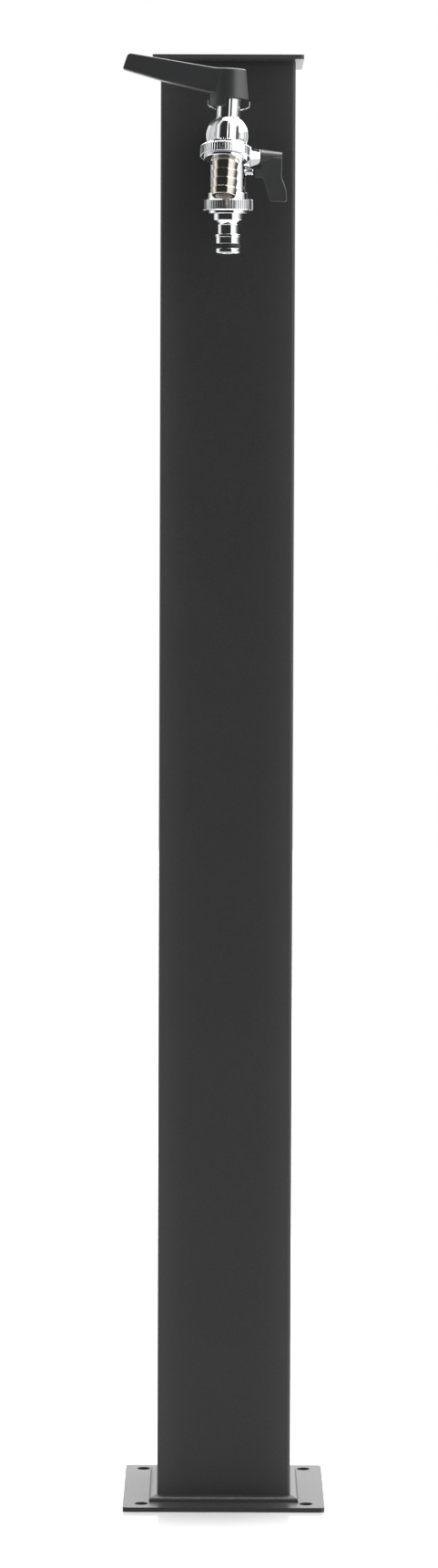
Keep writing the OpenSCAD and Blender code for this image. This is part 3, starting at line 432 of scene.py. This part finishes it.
nozzle = {"bore": 4.5, "flange": 12.4, "flangeLength": 1.65, "collar": 10.15, "collarEnd": 4.1,
          "neck": 7.15, "taperEnd": 3.0, "waistEnd": 9.3, "rib": 8.9, "ribEnd": 11.1, "land": 8.45,
          "landEnd": 15.6, "seat": 6.0, "seatLength": 3.1, "tipLength": 6.5, "underNut": 0.1,
          "ringOut": 1.35, "ringWire": 1.3, "ringSteps": 20,
          "soft": [0.1, 0.2, 0.1, 0.1, 0.6, 0.9, 0.4, 0.35, 0.35, 0.1, 0.3, 0.1, 0.1, 0.3, 1.1, 0.4]}

spoutNutFoot = -(tap["spoutShoulder"] + spoutNut["head"] + spoutNut["band"] + spoutNut["foot"])
rearNutFoot = -(tap["washer"] + nozzle["flangeLength"] + nozzle["underNut"] + rearNut["foot"] / 2)
makeNut("spoutNutKnurled", (moved(np.array([0, 0, spoutNutFoot]), atSpout), atSpout[1]), "spout_nut",
        "spout_union_nut", spoutNut)
makeNut("rearNutKnurled", (atRearEnd[0] + [0, 0, rearNutFoot], upright), "rear_nut", "rear_union_nut",
        rearNut)
print("union nuts made")

tail = {"bore": 5.2, "barb": 8.35, "rootRadius": 8.7, "rootLength": 1.2, "pitch": 5.9, "last": 5.0,
        "count": 4, "step": 0.75, "land": 1.0, "flange": 12.4, "flangeUnder": 0.95,
        "rootSoft": [0.3, 0.2, 0.1, 0.1, 0.25], "barbSoft": [0.5, 0.1, 0.04],
        "endSoft": [0.5, 0.1, 0.3, 0.15],
        "liningOut": 0.2, "liningIn": 0.05, "liningFoot": 0.25, "liningHead": 0.5, "liningSoft": 0.05}


def makeTail():
    # flange, root and a saw-tooth of barbs turned about the spout's axis, and a dull sleeve inside the bore
    k = tail
    top = -tap["spoutEnd"] - tap["washer"]
    under = spoutNutFoot + k["flangeUnder"]
    root = spoutNutFoot - k["rootLength"]
    lengths = [k["pitch"]] * (k["count"] - 1) + [k["last"]]
    barbs = [(k["barb"] - inward, root - i * k["pitch"] - down) for i, length in enumerate(lengths)
             for inward, down in ((0, 0), (0, k["land"]), (k["step"], length))]
    end = barbs[-1][1]
    points = [(k["bore"], top), (k["flange"], top), (k["flange"], under), (k["rootRadius"], under),
              (k["rootRadius"], root)] + barbs + [(k["bore"], end)]
    soft = k["rootSoft"] + k["barbSoft"] * (k["count"] - 1) + k["endSoft"]
    makePiece("hoseTail", atSpout, [shell(lathe(softened(points, soft, 4)), wrapRows=True)], "post",
              "nickel_plate", ["hose_tail"])
    outer, inner = k["bore"] + k["liningOut"], k["bore"] - k["liningIn"]
    foot, head = end + k["liningFoot"], top - k["liningHead"]
    lining = softened([(outer, foot), (outer, head), (inner, head), (inner, foot)], k["liningSoft"], 3)
    makePiece("tailBore", atSpout, [shell(lathe(lining), wrapRows=True)], "post", "nickel_plate",
              coat="nickel_in_bore")


def makeNozzle():
    # collar, taper, waist, rib, land, ring groove and rounded end turned about the outlet's axis
    n = nozzle
    flangeFoot = -tap["washer"] - n["flangeLength"]
    collarEnd = rearNutFoot - n["collarEnd"]
    taperEnd, waistEnd = collarEnd - n["taperEnd"], collarEnd - n["waistEnd"]
    ribEnd, landEnd = collarEnd - n["ribEnd"], collarEnd - n["landEnd"]
    seatEnd, tip = landEnd - n["seatLength"], landEnd - n["tipLength"]
    points = [(n["bore"], -tap["washer"]), (n["flange"], -tap["washer"]), (n["flange"], flangeFoot),
              (n["collar"], flangeFoot), (n["collar"], collarEnd), (n["neck"], taperEnd),
              (n["neck"], waistEnd), (n["rib"], waistEnd), (n["rib"], ribEnd), (n["land"], ribEnd),
              (n["land"], landEnd), (n["seat"], landEnd), (n["seat"], seatEnd), (n["land"], seatEnd),
              (n["land"], tip), (n["bore"], tip)]
    makePiece("clickNozzle", atRearEnd, [shell(lathe(softened(points, n["soft"], 4)), wrapRows=True)], "post",
              "chrome_plate", ["click_nozzle"])
    t = np.linspace(0, 2 * math.pi, n["ringSteps"], endpoint=False)
    ring = np.stack([n["seat"] + n["ringOut"] + n["ringWire"] * np.cos(t),
                     (landEnd + seatEnd) / 2 + n["ringWire"] * np.sin(t)], 1)
    makePiece("nozzleRing", atRearEnd, [shell(lathe(ring), wrapRows=True)], "post", "black_rubber",
              ["nozzle_o_ring"])


makeTail()
makeNozzle()
print("hose tail and nozzle made")

rearBody = {"run": 12.0, "runBack": 26.5, "runFront": 4.0, "runSoft": 0.5, "dome": 12.85, "domeSteps": 40,
            "socket": 11.6, "socketLength": 24.0, "waterway": 4.15, "socketBore": 9.95, "socketFloor": 12.0,
            "socketSoft": [0, 0, 0.8, 0.5, 0, 0],
            "tube": 12.35, "shoulder": 35.0, "grooveUp": 2.6, "grooveWidth": 0.8, "grooveDepth": 0.5,
            "thread": 12.65, "end": 44.4, "outletBore": 9.0, "outletDepth": 8.0,
            "tubeSoft": [0, 0, 0.15, 0.1, 0.1, 0.15, 0.1, 0.2, 0.4, 0.3, 0, 0],
            "boss": 7.6, "bossLength": 14.5, "stemBore": 3.05, "stemDepth": 3.0,
            "bossSoft": [0, 0, 0.7, 0.2, 0, 0],
            "lug": 2.6, "lugEnd": 17.2, "lugDrop": 9.4, "lugSoft": [0, 0, 2.5, 0]}


def makeRearBody():
    # the casting as shells that run into each other: a run along y, a round middle, an outlet tube,
    # a side boss for the stem and a small lug under it
    b = rearBody
    run = [(0, -b["runBack"]), (b["run"], -b["runBack"]), (b["run"], b["runFront"]), (0, b["runFront"])]
    socket = [(b["waterway"], 0), (b["socket"], 0), (b["socket"], b["socketLength"]),
              (b["socketBore"], b["socketLength"]), (b["socketBore"], b["socketFloor"]),
              (b["waterway"], b["socketFloor"])]
    t = np.linspace(-math.pi / 2, math.pi / 2, b["domeSteps"])
    dome = np.stack([b["dome"] * np.cos(t), b["dome"] * np.sin(t)], 1)
    groove = b["shoulder"] - b["grooveUp"]
    grooveTop, grooveRadius = b["grooveWidth"] - groove, b["tube"] - b["grooveDepth"]
    tube = [(0, 0), (b["tube"], 0), (b["tube"], grooveTop), (grooveRadius, grooveTop),
            (grooveRadius, -groove), (b["tube"], -groove), (b["tube"], -b["shoulder"]),
            (b["thread"], -b["shoulder"]), (b["thread"], -b["end"]), (b["outletBore"], -b["end"]),
            (b["outletBore"], b["outletDepth"] - b["end"]), (0, b["outletDepth"] - b["end"])]
    stemFloor = b["bossLength"] - b["stemDepth"]
    boss = [(0, 0), (b["boss"], 0), (b["boss"], b["bossLength"]), (b["stemBore"], b["bossLength"]),
            (b["stemBore"], stemFloor), (0, stemFloor)]
    lug = [(0, 0), (b["lug"], 0), (b["lug"], b["lugEnd"]), (0, b["lugEnd"])]
    bossPoint = np.array([0, 0, -tap["wingDrop"]])
    parts = [movedShell(shell(lathe(softened(run, b["runSoft"], closed=False))), (np.zeros(3), forwards)),
             movedShell(shell(lathe(softened(socket, b["socketSoft"])), wrapRows=True),
                        (np.zeros(3), frontTurn @ forwards)),
             shell(lathe(dome)),
             shell(lathe(softened(tube, b["tubeSoft"], closed=False))),
             movedShell(shell(lathe(softened(boss, b["bossSoft"], closed=False))), (bossPoint, sideways)),
             movedShell(shell(lathe(softened(lug, b["lugSoft"], 10, closed=False), 48)),
                        (bossPoint - [0, 0, b["lugDrop"]], sideways))]
    makePiece("rearValveBody", atRun, parts, "post", "chrome_plate", ["rear_valve_body"])


gland = {"foot": 7.5, "tip": 5.2, "length": 6.9, "bore": 3.05, "sides": 8, "turn": 31, "corner": 0.05,
         "blend": 0.8, "soft": [0.05, 0.35, 0.6, 0.1]}


def makeGland():
    # a tapering nut whose flat-sided sections close to a circle at the bore, its corners and rims rounded
    g = gland
    corners = -2 * math.pi / g["sides"] * np.arange(g["sides"]) - math.radians(g["turn"])
    flats = softened(np.stack([np.cos(corners), np.sin(corners)], 1), g["corner"], 7)
    circle = flats / np.linalg.norm(flats, axis=1)[:, None]
    start = rearBody["bossLength"]
    end = start + g["length"]
    profile = softened([(g["bore"], start), (g["foot"], start), (g["tip"], end), (g["bore"], end)],
                       g["soft"], 6)
    share = np.clip((profile[:, 0] - g["bore"]) / (g["tip"] - g["blend"] - g["bore"]), 0, 1)[:, None, None]
    section = profile[:, :1, None] * (circle * (1 - share) + flats * share)
    along = np.broadcast_to(profile[:, 1][:, None, None], (len(profile), len(flats), 1))
    grid = np.concatenate([section, along], 2)
    makePiece("wingGland", atWingStem, [shell(grid, wrapRows=True)], "post", "chrome_plate",
              ["rear_gland_nut"])


makeRearBody()
makeGland()
print("rear valve body made")

# collars and tower are (radius, distance) pairs in front of and above the ball's middle
frontBody = {"inlet": 9.0, "inletEnd": 13.0, "rearCollar": 12.2, "housing": 13.85,
             "ballFrom": -62, "ballTo": 9, "ballSteps": 24, "inletSoft": [0, 0, 0.6], "ballSoft": 0.3,
             "collars": [(12.85, 3.05), (12.5, 3.05), (12.5, 8.6), (11.5, 9.6), (11.2, 9.6), (11.2, 10.6),
                         (8.3, 13.2), (8.3, 17.4), (0, 17.4)],
             "collarSoft": [0.12, 0.1, 0.2, 0.15, 0.1, 0.2, 0.3, 0.5, 0],
             "tower": [(0, 0), (8.5, 0), (8.5, 10.0), (7.7, 12.4), (7.7, 25.2), (6.9, 25.2), (6.9, 24.0),
                       (0, 24.0)],
             "towerSoft": [0, 0, 1.2, 1.2, 0.3, 0.1, 0, 0],
             "spout": 7.7, "spoutRise": 8.5, "domeSteps": 24, "spoutShoulder": 11.2, "thread": 12.65,
             "outletBore": 5.0, "outletFloor": 10.0, "spoutSoft": [0.2, 0.2, 0.3, 0.2, 0, 0],
             "spoutTurns": 720, "ridge": 0.14, "ridgeAt": 0.06, "ridgeHalf": 0.04, "ridgeEnd": 11.0,
             "margin": 0.01,
             "rib": [(0.1, -7.4), (0.15, -8.2), (0.3, -8.25), (1.15, -7.6), (1.15, -7.3)],
             "ribHeights": [7.0, 23.4, 24.0]}


def makeFrontBody():
    # housing, collars and neck turned about the run, the tower about its stem, the spout about its own axis
    b = frontBody
    t = np.linspace(math.radians(b["ballFrom"]), math.radians(b["ballTo"]), b["ballSteps"])
    ball = np.stack([b["housing"] * np.cos(t), b["housing"] * np.sin(t)], 1)
    inlet = [(0, -b["inletEnd"]), (b["inlet"], -b["inletEnd"]), (b["rearCollar"], -b["inletEnd"])]
    soft = b["inletSoft"] + [b["ballSoft"]] + [0] * (len(ball) - 2) + [b["ballSoft"]] + b["collarSoft"]
    along = softened(inlet + ball.tolist() + b["collars"], soft, 5, closed=False)
    tower = softened(b["tower"], b["towerSoft"], 6, closed=False)
    rise = np.linspace(math.pi / 2, 0, b["domeSteps"])
    dome = np.stack([b["spout"] * np.cos(rise), b["spoutRise"] * np.sin(rise)], 1).tolist()
    barrel = dome + [(b["spout"], -b["spoutShoulder"]), (b["thread"], -b["spoutShoulder"]),
                     (b["thread"], -tap["spoutEnd"]), (b["outletBore"], -tap["spoutEnd"]),
                     (b["outletBore"], -b["outletFloor"]), (0, -b["outletFloor"])]
    barrel = softened(barrel, [0] * len(dome) + b["spoutSoft"], 4, closed=False)
    spout = lathe(barrel, b["spoutTurns"])
    # the parting line of the casting: a fine ridge down the front of the barrel
    t = np.linspace(0, 2 * math.pi, b["spoutTurns"], endpoint=False)
    off = np.angle(np.exp(1j * (t + math.pi / 2 - b["ridgeAt"])))
    ridge = b["ridge"] * np.clip(1 - np.abs(off) / b["ridgeHalf"], 0, 1)
    cast = (barrel[:, 0] < b["spout"] + b["margin"]) & (barrel[:, 1] > -b["ridgeEnd"])
    onBarrel = np.where(cast, barrel[:, 0] / b["spout"], 0)
    spout[..., :2] *= 1 + onBarrel[:, None, None] * ridge[None, :, None] / b["spout"]
    # a low ridge up the tower's front, steep on its left side and sloping off on its right
    rib = np.array([[[x, y, z] for x, y in b["rib"]] for z in b["ribHeights"]])
    parts = [movedShell(shell(lathe(along, 128)), (np.zeros(3), forwards)), shell(lathe(tower)),
             shell(rib, cap="flat"), movedShell(shell(spout), (spoutOffset, spoutLean))]
    makePiece("frontValveBody", atBall, parts, "post", "chrome_plate", ["front_valve_body"])


makeFrontBody()
print("front valve body made")


def slab(outline, halfThick, edge, steps=5, lead=0.1):
    # an outline in x and z given thickness along y, its rim rounded by a quarter circle:
    # rows move in by r(1 - cos a) while y climbs by r sin a, and the two sides close with one face each,
    # a little inside the rim so that they stay flat in shading.
    # the nearer neighbour has the greater say in a point's direction, so arcs start square to their straights
    nextWay = np.roll(outline, -1, 0) - outline
    lastWay = outline - np.roll(outline, 1, 0)
    nextWay /= (np.linalg.norm(nextWay, axis=1) ** 2)[:, None]
    lastWay /= (np.linalg.norm(lastWay, axis=1) ** 2)[:, None]
    out = np.stack([(nextWay + lastWay)[:, 1], -(nextWay + lastWay)[:, 0]], 1)
    out /= np.linalg.norm(out, axis=1)[:, None]
    area = (outline[:, 0] * np.roll(outline[:, 1], -1) - np.roll(outline[:, 0], -1) * outline[:, 1]).sum()
    out *= np.sign(area)
    a = np.linspace(0, math.pi / 2, steps)
    inset = [edge + lead]
    inward = np.concatenate([inset, edge * (1 - np.sin(a)), edge * (1 - np.cos(a)), inset])
    y = np.concatenate([[-halfThick], -halfThick + edge * (1 - np.cos(a)),
                        halfThick - edge * (1 - np.sin(a)), [halfThick]])
    flat = outline[None] - out[None] * inward[:, None, None]
    grid = np.stack([flat[..., 0], np.broadcast_to(y[:, None], flat.shape[:2]), flat[..., 1]], -1)
    return shell(grid, cap="flat")


lever = {"foot": 24.3, "height": 19.4, "topRadius": 10.2, "footRadius": 12.6, "hollow": 10.8, "roof": 5.6,
         "well": 4.45, "wellDepth": 4.0, "screwHole": 2.05, "hubSoft": [0.2, 0.4, 1.1, 0.4, 0, 0, 0, 0.3],
         "skirtDrop": 5.1, "skirtLap": 0.3, "skirtFrom": 96, "skirtTo": 264, "skirtSteps": 60,
         "skirtSoft": 0.3,
         "length": 70.1, "rootWidth": 17.0, "tipWidth": 12.0, "lean": 3.1, "rise": 7.0, "edge": 1.0,
         "tuck": 0.2, "rootUnder": 27.2, "middleUnder": 33.8, "tipUnder": 40.0, "middleShare": 0.64,
         "armSoft": [0, 6, 3.0, 1.2, 25, 6, 0]}


def makeLever():
    # a hub turned about the stem with its hollow foot, a longer skirt on the arm's side, and an arm that
    # is its side outline given thickness, narrowing towards the tip
    k = lever
    top, roof = k["foot"] + k["height"], k["foot"] + k["roof"]
    hub = [(k["hollow"], k["foot"]), (k["footRadius"], k["foot"]), (k["topRadius"], top), (k["well"], top),
           (k["well"], top - k["wellDepth"]), (k["screwHole"], top - k["wellDepth"]), (k["screwHole"], roof),
           (k["hollow"], roof)]
    hub = shell(lathe(softened(hub, k["hubSoft"], 7), 128), wrapRows=True)
    # skirt: a small wall section carried round half a turn
    turn = np.radians(np.linspace(k["skirtFrom"], k["skirtTo"], k["skirtSteps"]))[:, None]
    tall = k["skirtDrop"] + k["skirtLap"]
    wall = softened([(k["hollow"], 0), (k["footRadius"], 0), (k["footRadius"], tall), (k["hollow"], tall)],
                    k["skirtSoft"], 3)
    wall[:, 1] += k["foot"] - k["skirtDrop"]
    radius = wall[None, :, 0]
    height = np.broadcast_to(wall[None, :, 1], (len(turn), len(wall)))
    skirt = shell(np.stack([radius * np.cos(turn), radius * np.sin(turn), height], -1), cap="flat")
    outline = softened([(0, top - k["tuck"]), (-k["topRadius"], top),
                        (k["lean"] - k["length"], top + k["rise"]), (-k["length"], k["tipUnder"]),
                        (-k["middleShare"] * k["length"], k["middleUnder"]),
                        (-k["footRadius"], k["rootUnder"]), (0, k["rootUnder"])], k["armSoft"], 8)
    points, quads, lids = slab(outline, k["rootWidth"] / 2, k["edge"])
    along = np.clip(-points[:, 0] / k["length"], 0, 1)
    points[:, 1] *= 1 + (k["tipWidth"] / k["rootWidth"] - 1) * along
    makePiece("leverHandle", atBall, [hub, skirt, (points, quads, lids)], "lever", "black_plastic",
              ["lever_handle"], smooth=40)


wing = {"start": 21.45, "hubLength": 14.25, "hubRadius": 5.5, "tipShare": 0.62, "socket": 2.2,
        "socketDepth": 8.4, "well": 2.9, "wellDepth": 2.7, "screwHole": 1.55,
        "hubSoft": [0, 0.6, 0.3, 0.15, 0, 0, 0, 0],
        "armLength": 29.3, "armThick": 9.0, "tipThickShare": 0.72, "tipWidth": 11.2, "kick": 3.4, "edge": 0.9,
        "cheekDepth": 7.5, "skirtBack": 3.8, "skirtDepth": 13.5, "skirtStep": 1.0, "kinkShare": 0.75,
        "kinkBack": 0.3, "armSoft": [0, 0.3, 1.2, 1.2, 1.5, 1.8, 1.4, 5, 5, 0]}


def makeWing():
    # a tapering hub turned about the stem and a flat arm, its outline given thickness, thinner at the tip
    k = wing
    start = k["start"]
    tip, back = start + k["hubLength"], start - k["skirtBack"]
    well = tip - k["wellDepth"]
    hub = [(k["socket"], start), (k["hubRadius"], start), (k["tipShare"] * k["hubRadius"], tip),
           (k["well"], tip), (k["well"], well), (k["screwHole"], well),
           (k["screwHole"], start + k["socketDepth"]), (k["socket"], start + k["socketDepth"])]
    hub = movedShell(shell(lathe(softened(hub, k["hubSoft"])), wrapRows=True), (np.zeros(3), sideways))
    low, kink = -k["armLength"], -k["kinkShare"] * k["armLength"]
    outer = tip + k["kick"]
    outline = softened([(start, 0), (start, -k["cheekDepth"]), (back, -k["cheekDepth"]),
                        (back, -k["skirtDepth"]), (start + k["skirtStep"], -k["skirtDepth"]),
                        (outer - k["tipWidth"], low), (outer, low), (outer - k["kinkBack"], kink),
                        (tip, -k["skirtDepth"]), (tip, 0)], k["armSoft"], 6)
    points, quads, lids = slab(outline, k["armThick"] / 2, k["edge"])
    points[:, 1] *= 1 + (k["tipThickShare"] - 1) * np.clip(-points[:, 2] / k["armLength"], 0, 1)
    makePiece("wingHandle", (wingPoint, upright), [hub, (points, quads, lids)], "wing", "black_plastic",
              ["wing_handle"], smooth=40)


makeLever()
makeWing()
print("handles made")

clip = {"wire": 0.4, "wireSteps": 14, "seat": 8.15, "height": 17.2, "reach": 13.4, "lift": 2.3, "end": 3.4,
        "bend": 1.2, "ringSteps": 60, "bendSteps": 8, "uprightUnder": 0.2}


def makeClip():
    # a round wire carried along half a ring behind the tower and up beside the hub: at each point of the path
    # the section lies across the way from its neighbour before to its neighbour after
    c = clip
    t = np.linspace(0, math.pi, c["ringSteps"])
    ring = np.stack([c["seat"] * np.cos(t), c["seat"] * np.sin(t), 0 * t], 1)
    ear = [[c["reach"], 0, c["lift"] + c["end"]], [c["reach"], 0, c["lift"]], [c["seat"], 0, 0]]
    ear = softened(ear, [0, c["bend"], 0], c["bendSteps"], closed=False)
    path = np.concatenate([ear[:-1], ring, (ear * [-1, 1, 1])[::-1][1:]])
    way = np.gradient(path, axis=0)
    way /= np.linalg.norm(way, axis=1)[:, None]
    side = np.cross(way, [0, 0, 1.0]) + tiny
    side[np.linalg.norm(side, axis=1) < c["uprightUnder"]] = [0, -1, 0]
    side /= np.linalg.norm(side, axis=1)[:, None]
    up = np.cross(side, way)
    a = np.linspace(0, 2 * math.pi, c["wireSteps"], endpoint=False)[None, :, None]
    grid = path[:, None] + c["wire"] * (np.cos(a) * side[:, None] + np.sin(a) * up[:, None])
    grid[..., 2] += c["height"]
    makePiece("leverClip", atBall, [shell(grid, cap="point")], "post", "chrome_plate", ["lever_clip"],
              smooth=60)


makeClip()
print("wire clip made")

# nodes with a finish of their own, beside their slot's
ownFinish = {"column_tube": "tube_coat", "lid_plate": "lid_coat", "lid_seal": "seal_rubber"}
brokenEdges = {"nodes": ["base_plate", "lid_plate"], "radius": 0.4, "segments": 3, "from": 50, "merge": 0.001}


def dressNodes():
    # each CAD node gets its finish in place of the plain imported one
    slotOf = {s["node"]: s["material_slot"] for s in frame["record"]["subparts"]}
    for name, node in nodes.items():
        node.data.materials.clear()
        node.data.materials.append(finishes[ownFinish.get(name, slotOf[name])])


def breakEdges():
    # a small round along each cut edge of the sheets, by modifiers that leave the nodes' own meshes alone
    e = brokenEdges
    for name in e["nodes"]:
        merge = nodes[name].modifiers.new("mergedCorners", "WELD")
        merge.merge_threshold = e["merge"] * mm
        bevel = nodes[name].modifiers.new("brokenEdges", "BEVEL")
        bevel.width, bevel.segments = e["radius"] * mm, e["segments"]
        bevel.limit_method, bevel.angle_limit = "ANGLE", math.radians(e["from"])
        bevel.harden_normals = True


dressNodes()
breakEdges()
print("CAD nodes dressed")

# what glossy surfaces see. angles are radians from straight ahead, right positive, and X, Y and Z the way
# looked. each step: its name, what is done, and to what. each zone: its place, what it is measured by, where
# it starts and is full, and its level
studio = {"diffuse": 0.72, "shown": 1.0, "front": 0.04,
          "steps": [("ahead", "MULTIPLY", "Y", -1.0), ("toRight", "ARCTAN2", "X", "ahead"),
                    ("toLeft", "MULTIPLY", "toRight", -1.0), ("aside", "ABSOLUTE", "toRight"),
                    ("pastFront", "SUBTRACT", "toRight", 0.55), ("pastLow", "SUBTRACT", "Z", 0.2),
                    ("rightAndHigh", "MINIMUM", "pastFront", "pastLow"),
                    ("backPart", "MULTIPLY", "Y", 0.25), ("upPart", "MULTIPLY", "Z", 0.97),
                    ("overhead", "ADD", "backPart", "upPart")],
          "zones": [("left board", "toLeft", 1.15, 1.78, 1.45), ("left flank", "toLeft", 1.8, 2.2, 0.5),
                    ("right box", "toRight", 0.53, 0.62, 1.5), ("right flank", "toRight", 1.25, 2.1, 0.15),
                    ("high right box", "rightAndHigh", 0.0, 0.2, 5.0),
                    ("back wall", "aside", 2.72, 2.88, 2.3), ("top box", "overhead", 0.88, 0.94, 13.0)]}


def makeWorld():
    # white to the camera and even to diffuse rays; in reflections a dark gap in front between a pale board on
    # the left and a bright soft box on the right, both fading towards the back, a white wall behind and a
    # bright box overhead
    world = bpy.data.worlds.new("studioWorld")
    bpy.context.scene.world = world
    world.use_nodes = True
    tree = world.node_tree
    tree.nodes.clear()
    way = addNode(tree, "ShaderNodeTexCoord").outputs["Generated"]
    split = addNode(tree, "ShaderNodeSeparateXYZ", None, {"Vector": way})
    made = {axis: split.outputs[axis] for axis in "XYZ"}
    for name, operation, *given in studio["steps"]:
        step = addNode(tree, "ShaderNodeMath", {"operation": operation},
                       {i: made.get(value, value) for i, value in enumerate(given)})
        made[name] = step.outputs[0]
    level = studio["front"]
    for label, measure, start, full, strength in studio["zones"]:
        mask = addNode(tree, "ShaderNodeMapRange", {"interpolation_type": "SMOOTHSTEP", "label": label},
                       {"Value": made[measure], "From Min": start, "From Max": full})
        blend = addNode(tree, "ShaderNodeMix", {"data_type": "FLOAT"},
                        {"Factor": mask.outputs["Result"], "A": level, "B": strength})
        level = blend.outputs["Result"]
    path = addNode(tree, "ShaderNodeLightPath")
    light = addNode(tree, "ShaderNodeMix", {"data_type": "FLOAT"},
                    {"Factor": path.outputs["Is Diffuse Ray"], "A": level, "B": studio["diffuse"]})
    shown = addNode(tree, "ShaderNodeMix", {"data_type": "FLOAT"},
                    {"Factor": path.outputs["Is Camera Ray"], "A": light.outputs["Result"],
                     "B": studio["shown"]})
    sky = addNode(tree, "ShaderNodeBackground", None,
                  {"Color": (1, 1, 1, 1), "Strength": shown.outputs["Result"]})
    addNode(tree, "ShaderNodeOutputWorld", None, {"Surface": sky.outputs[0]})


lampAim = (0, -0.08, 0.75)
lamps = {"leftBox": {"place": (-1.9, -1.3, 0.95), "size": (0.7, 1.9), "watts": 14.0},
         "rightBox": {"place": (1.8, -1.0, 1.0), "size": (0.8, 1.9), "watts": 22.0},
         "topBox": {"place": (0.2, 0.3, 2.6), "size": (1.2, 1.0), "watts": 16.0}}


def makeLamps():
    # soft boxes turned towards the column's upper part
    for name, lamp in lamps.items():
        data = bpy.data.lights.new(name, "AREA")
        data.shape = "RECTANGLE"
        data.size, data.size_y = lamp["size"]
        data.energy = lamp["watts"]
        box = bpy.data.objects.new(name, data)
        box.location = lamp["place"]
        box.rotation_euler = (Vector(lampAim) - Vector(lamp["place"])).to_track_quat("-Z", "Y").to_euler()
        box.visible_glossy = False
        bpy.context.scene.collection.objects.link(box)


ground = {"half": 5.0, "below": 0.2, "white": "#aaaaaa", "lift": 0.62, "gloss": 0.56, "glossRoughness": 0.16,
          "fadeFrom": -68.0, "fadeTo": -182.0}


def makeFloor():
    # a white acrylic sheet: matt white that keeps the shadow, and a faint mirror just in front of the plate
    material, tree, coords = newMaterial("whiteStudioFloor")
    split = addNode(tree, "ShaderNodeSeparateXYZ", None, {"Vector": coords})
    fade = addNode(tree, "ShaderNodeMapRange", {"interpolation_type": "SMOOTHSTEP"},
                   {"Value": split.outputs["Y"], "From Min": ground["fadeTo"] * mm,
                    "From Max": ground["fadeFrom"] * mm, "To Min": 0.0, "To Max": ground["gloss"]})
    path = addNode(tree, "ShaderNodeLightPath")
    lift = addNode(tree, "ShaderNodeMath", {"operation": "MULTIPLY"},
                   {0: path.outputs["Is Camera Ray"], 1: ground["lift"]})
    matt = addNode(tree, "ShaderNodeBsdfDiffuse", None, {"Color": linear(ground["white"])})
    glow = addNode(tree, "ShaderNodeEmission", None, {"Color": (1, 1, 1, 1), "Strength": lift.outputs[0]})
    base = addNode(tree, "ShaderNodeAddShader", None, {0: matt.outputs[0], 1: glow.outputs[0]})
    gloss = addNode(tree, "ShaderNodeBsdfAnisotropic", None, {"Roughness": ground["glossRoughness"]})
    sheet = addNode(tree, "ShaderNodeMixShader", None,
                    {0: fade.outputs["Result"], 1: base.outputs[0], 2: gloss.outputs[0]})
    addNode(tree, "ShaderNodeOutputMaterial", None, {"Surface": sheet.outputs[0]})
    mesh = bpy.data.meshes.new("studioFloor")
    h, z = ground["half"], -ground["below"] * mm
    mesh.from_pydata([(-h, -h, z), (h, -h, z), (h, h, z), (-h, h, z)], [], [(0, 1, 2, 3)])
    mesh.materials.append(material)
    floor = bpy.data.objects.new("studioFloor", mesh)
    bpy.context.scene.collection.objects.link(floor)


makeWorld()
makeLamps()
makeFloor()
print("studio lit")
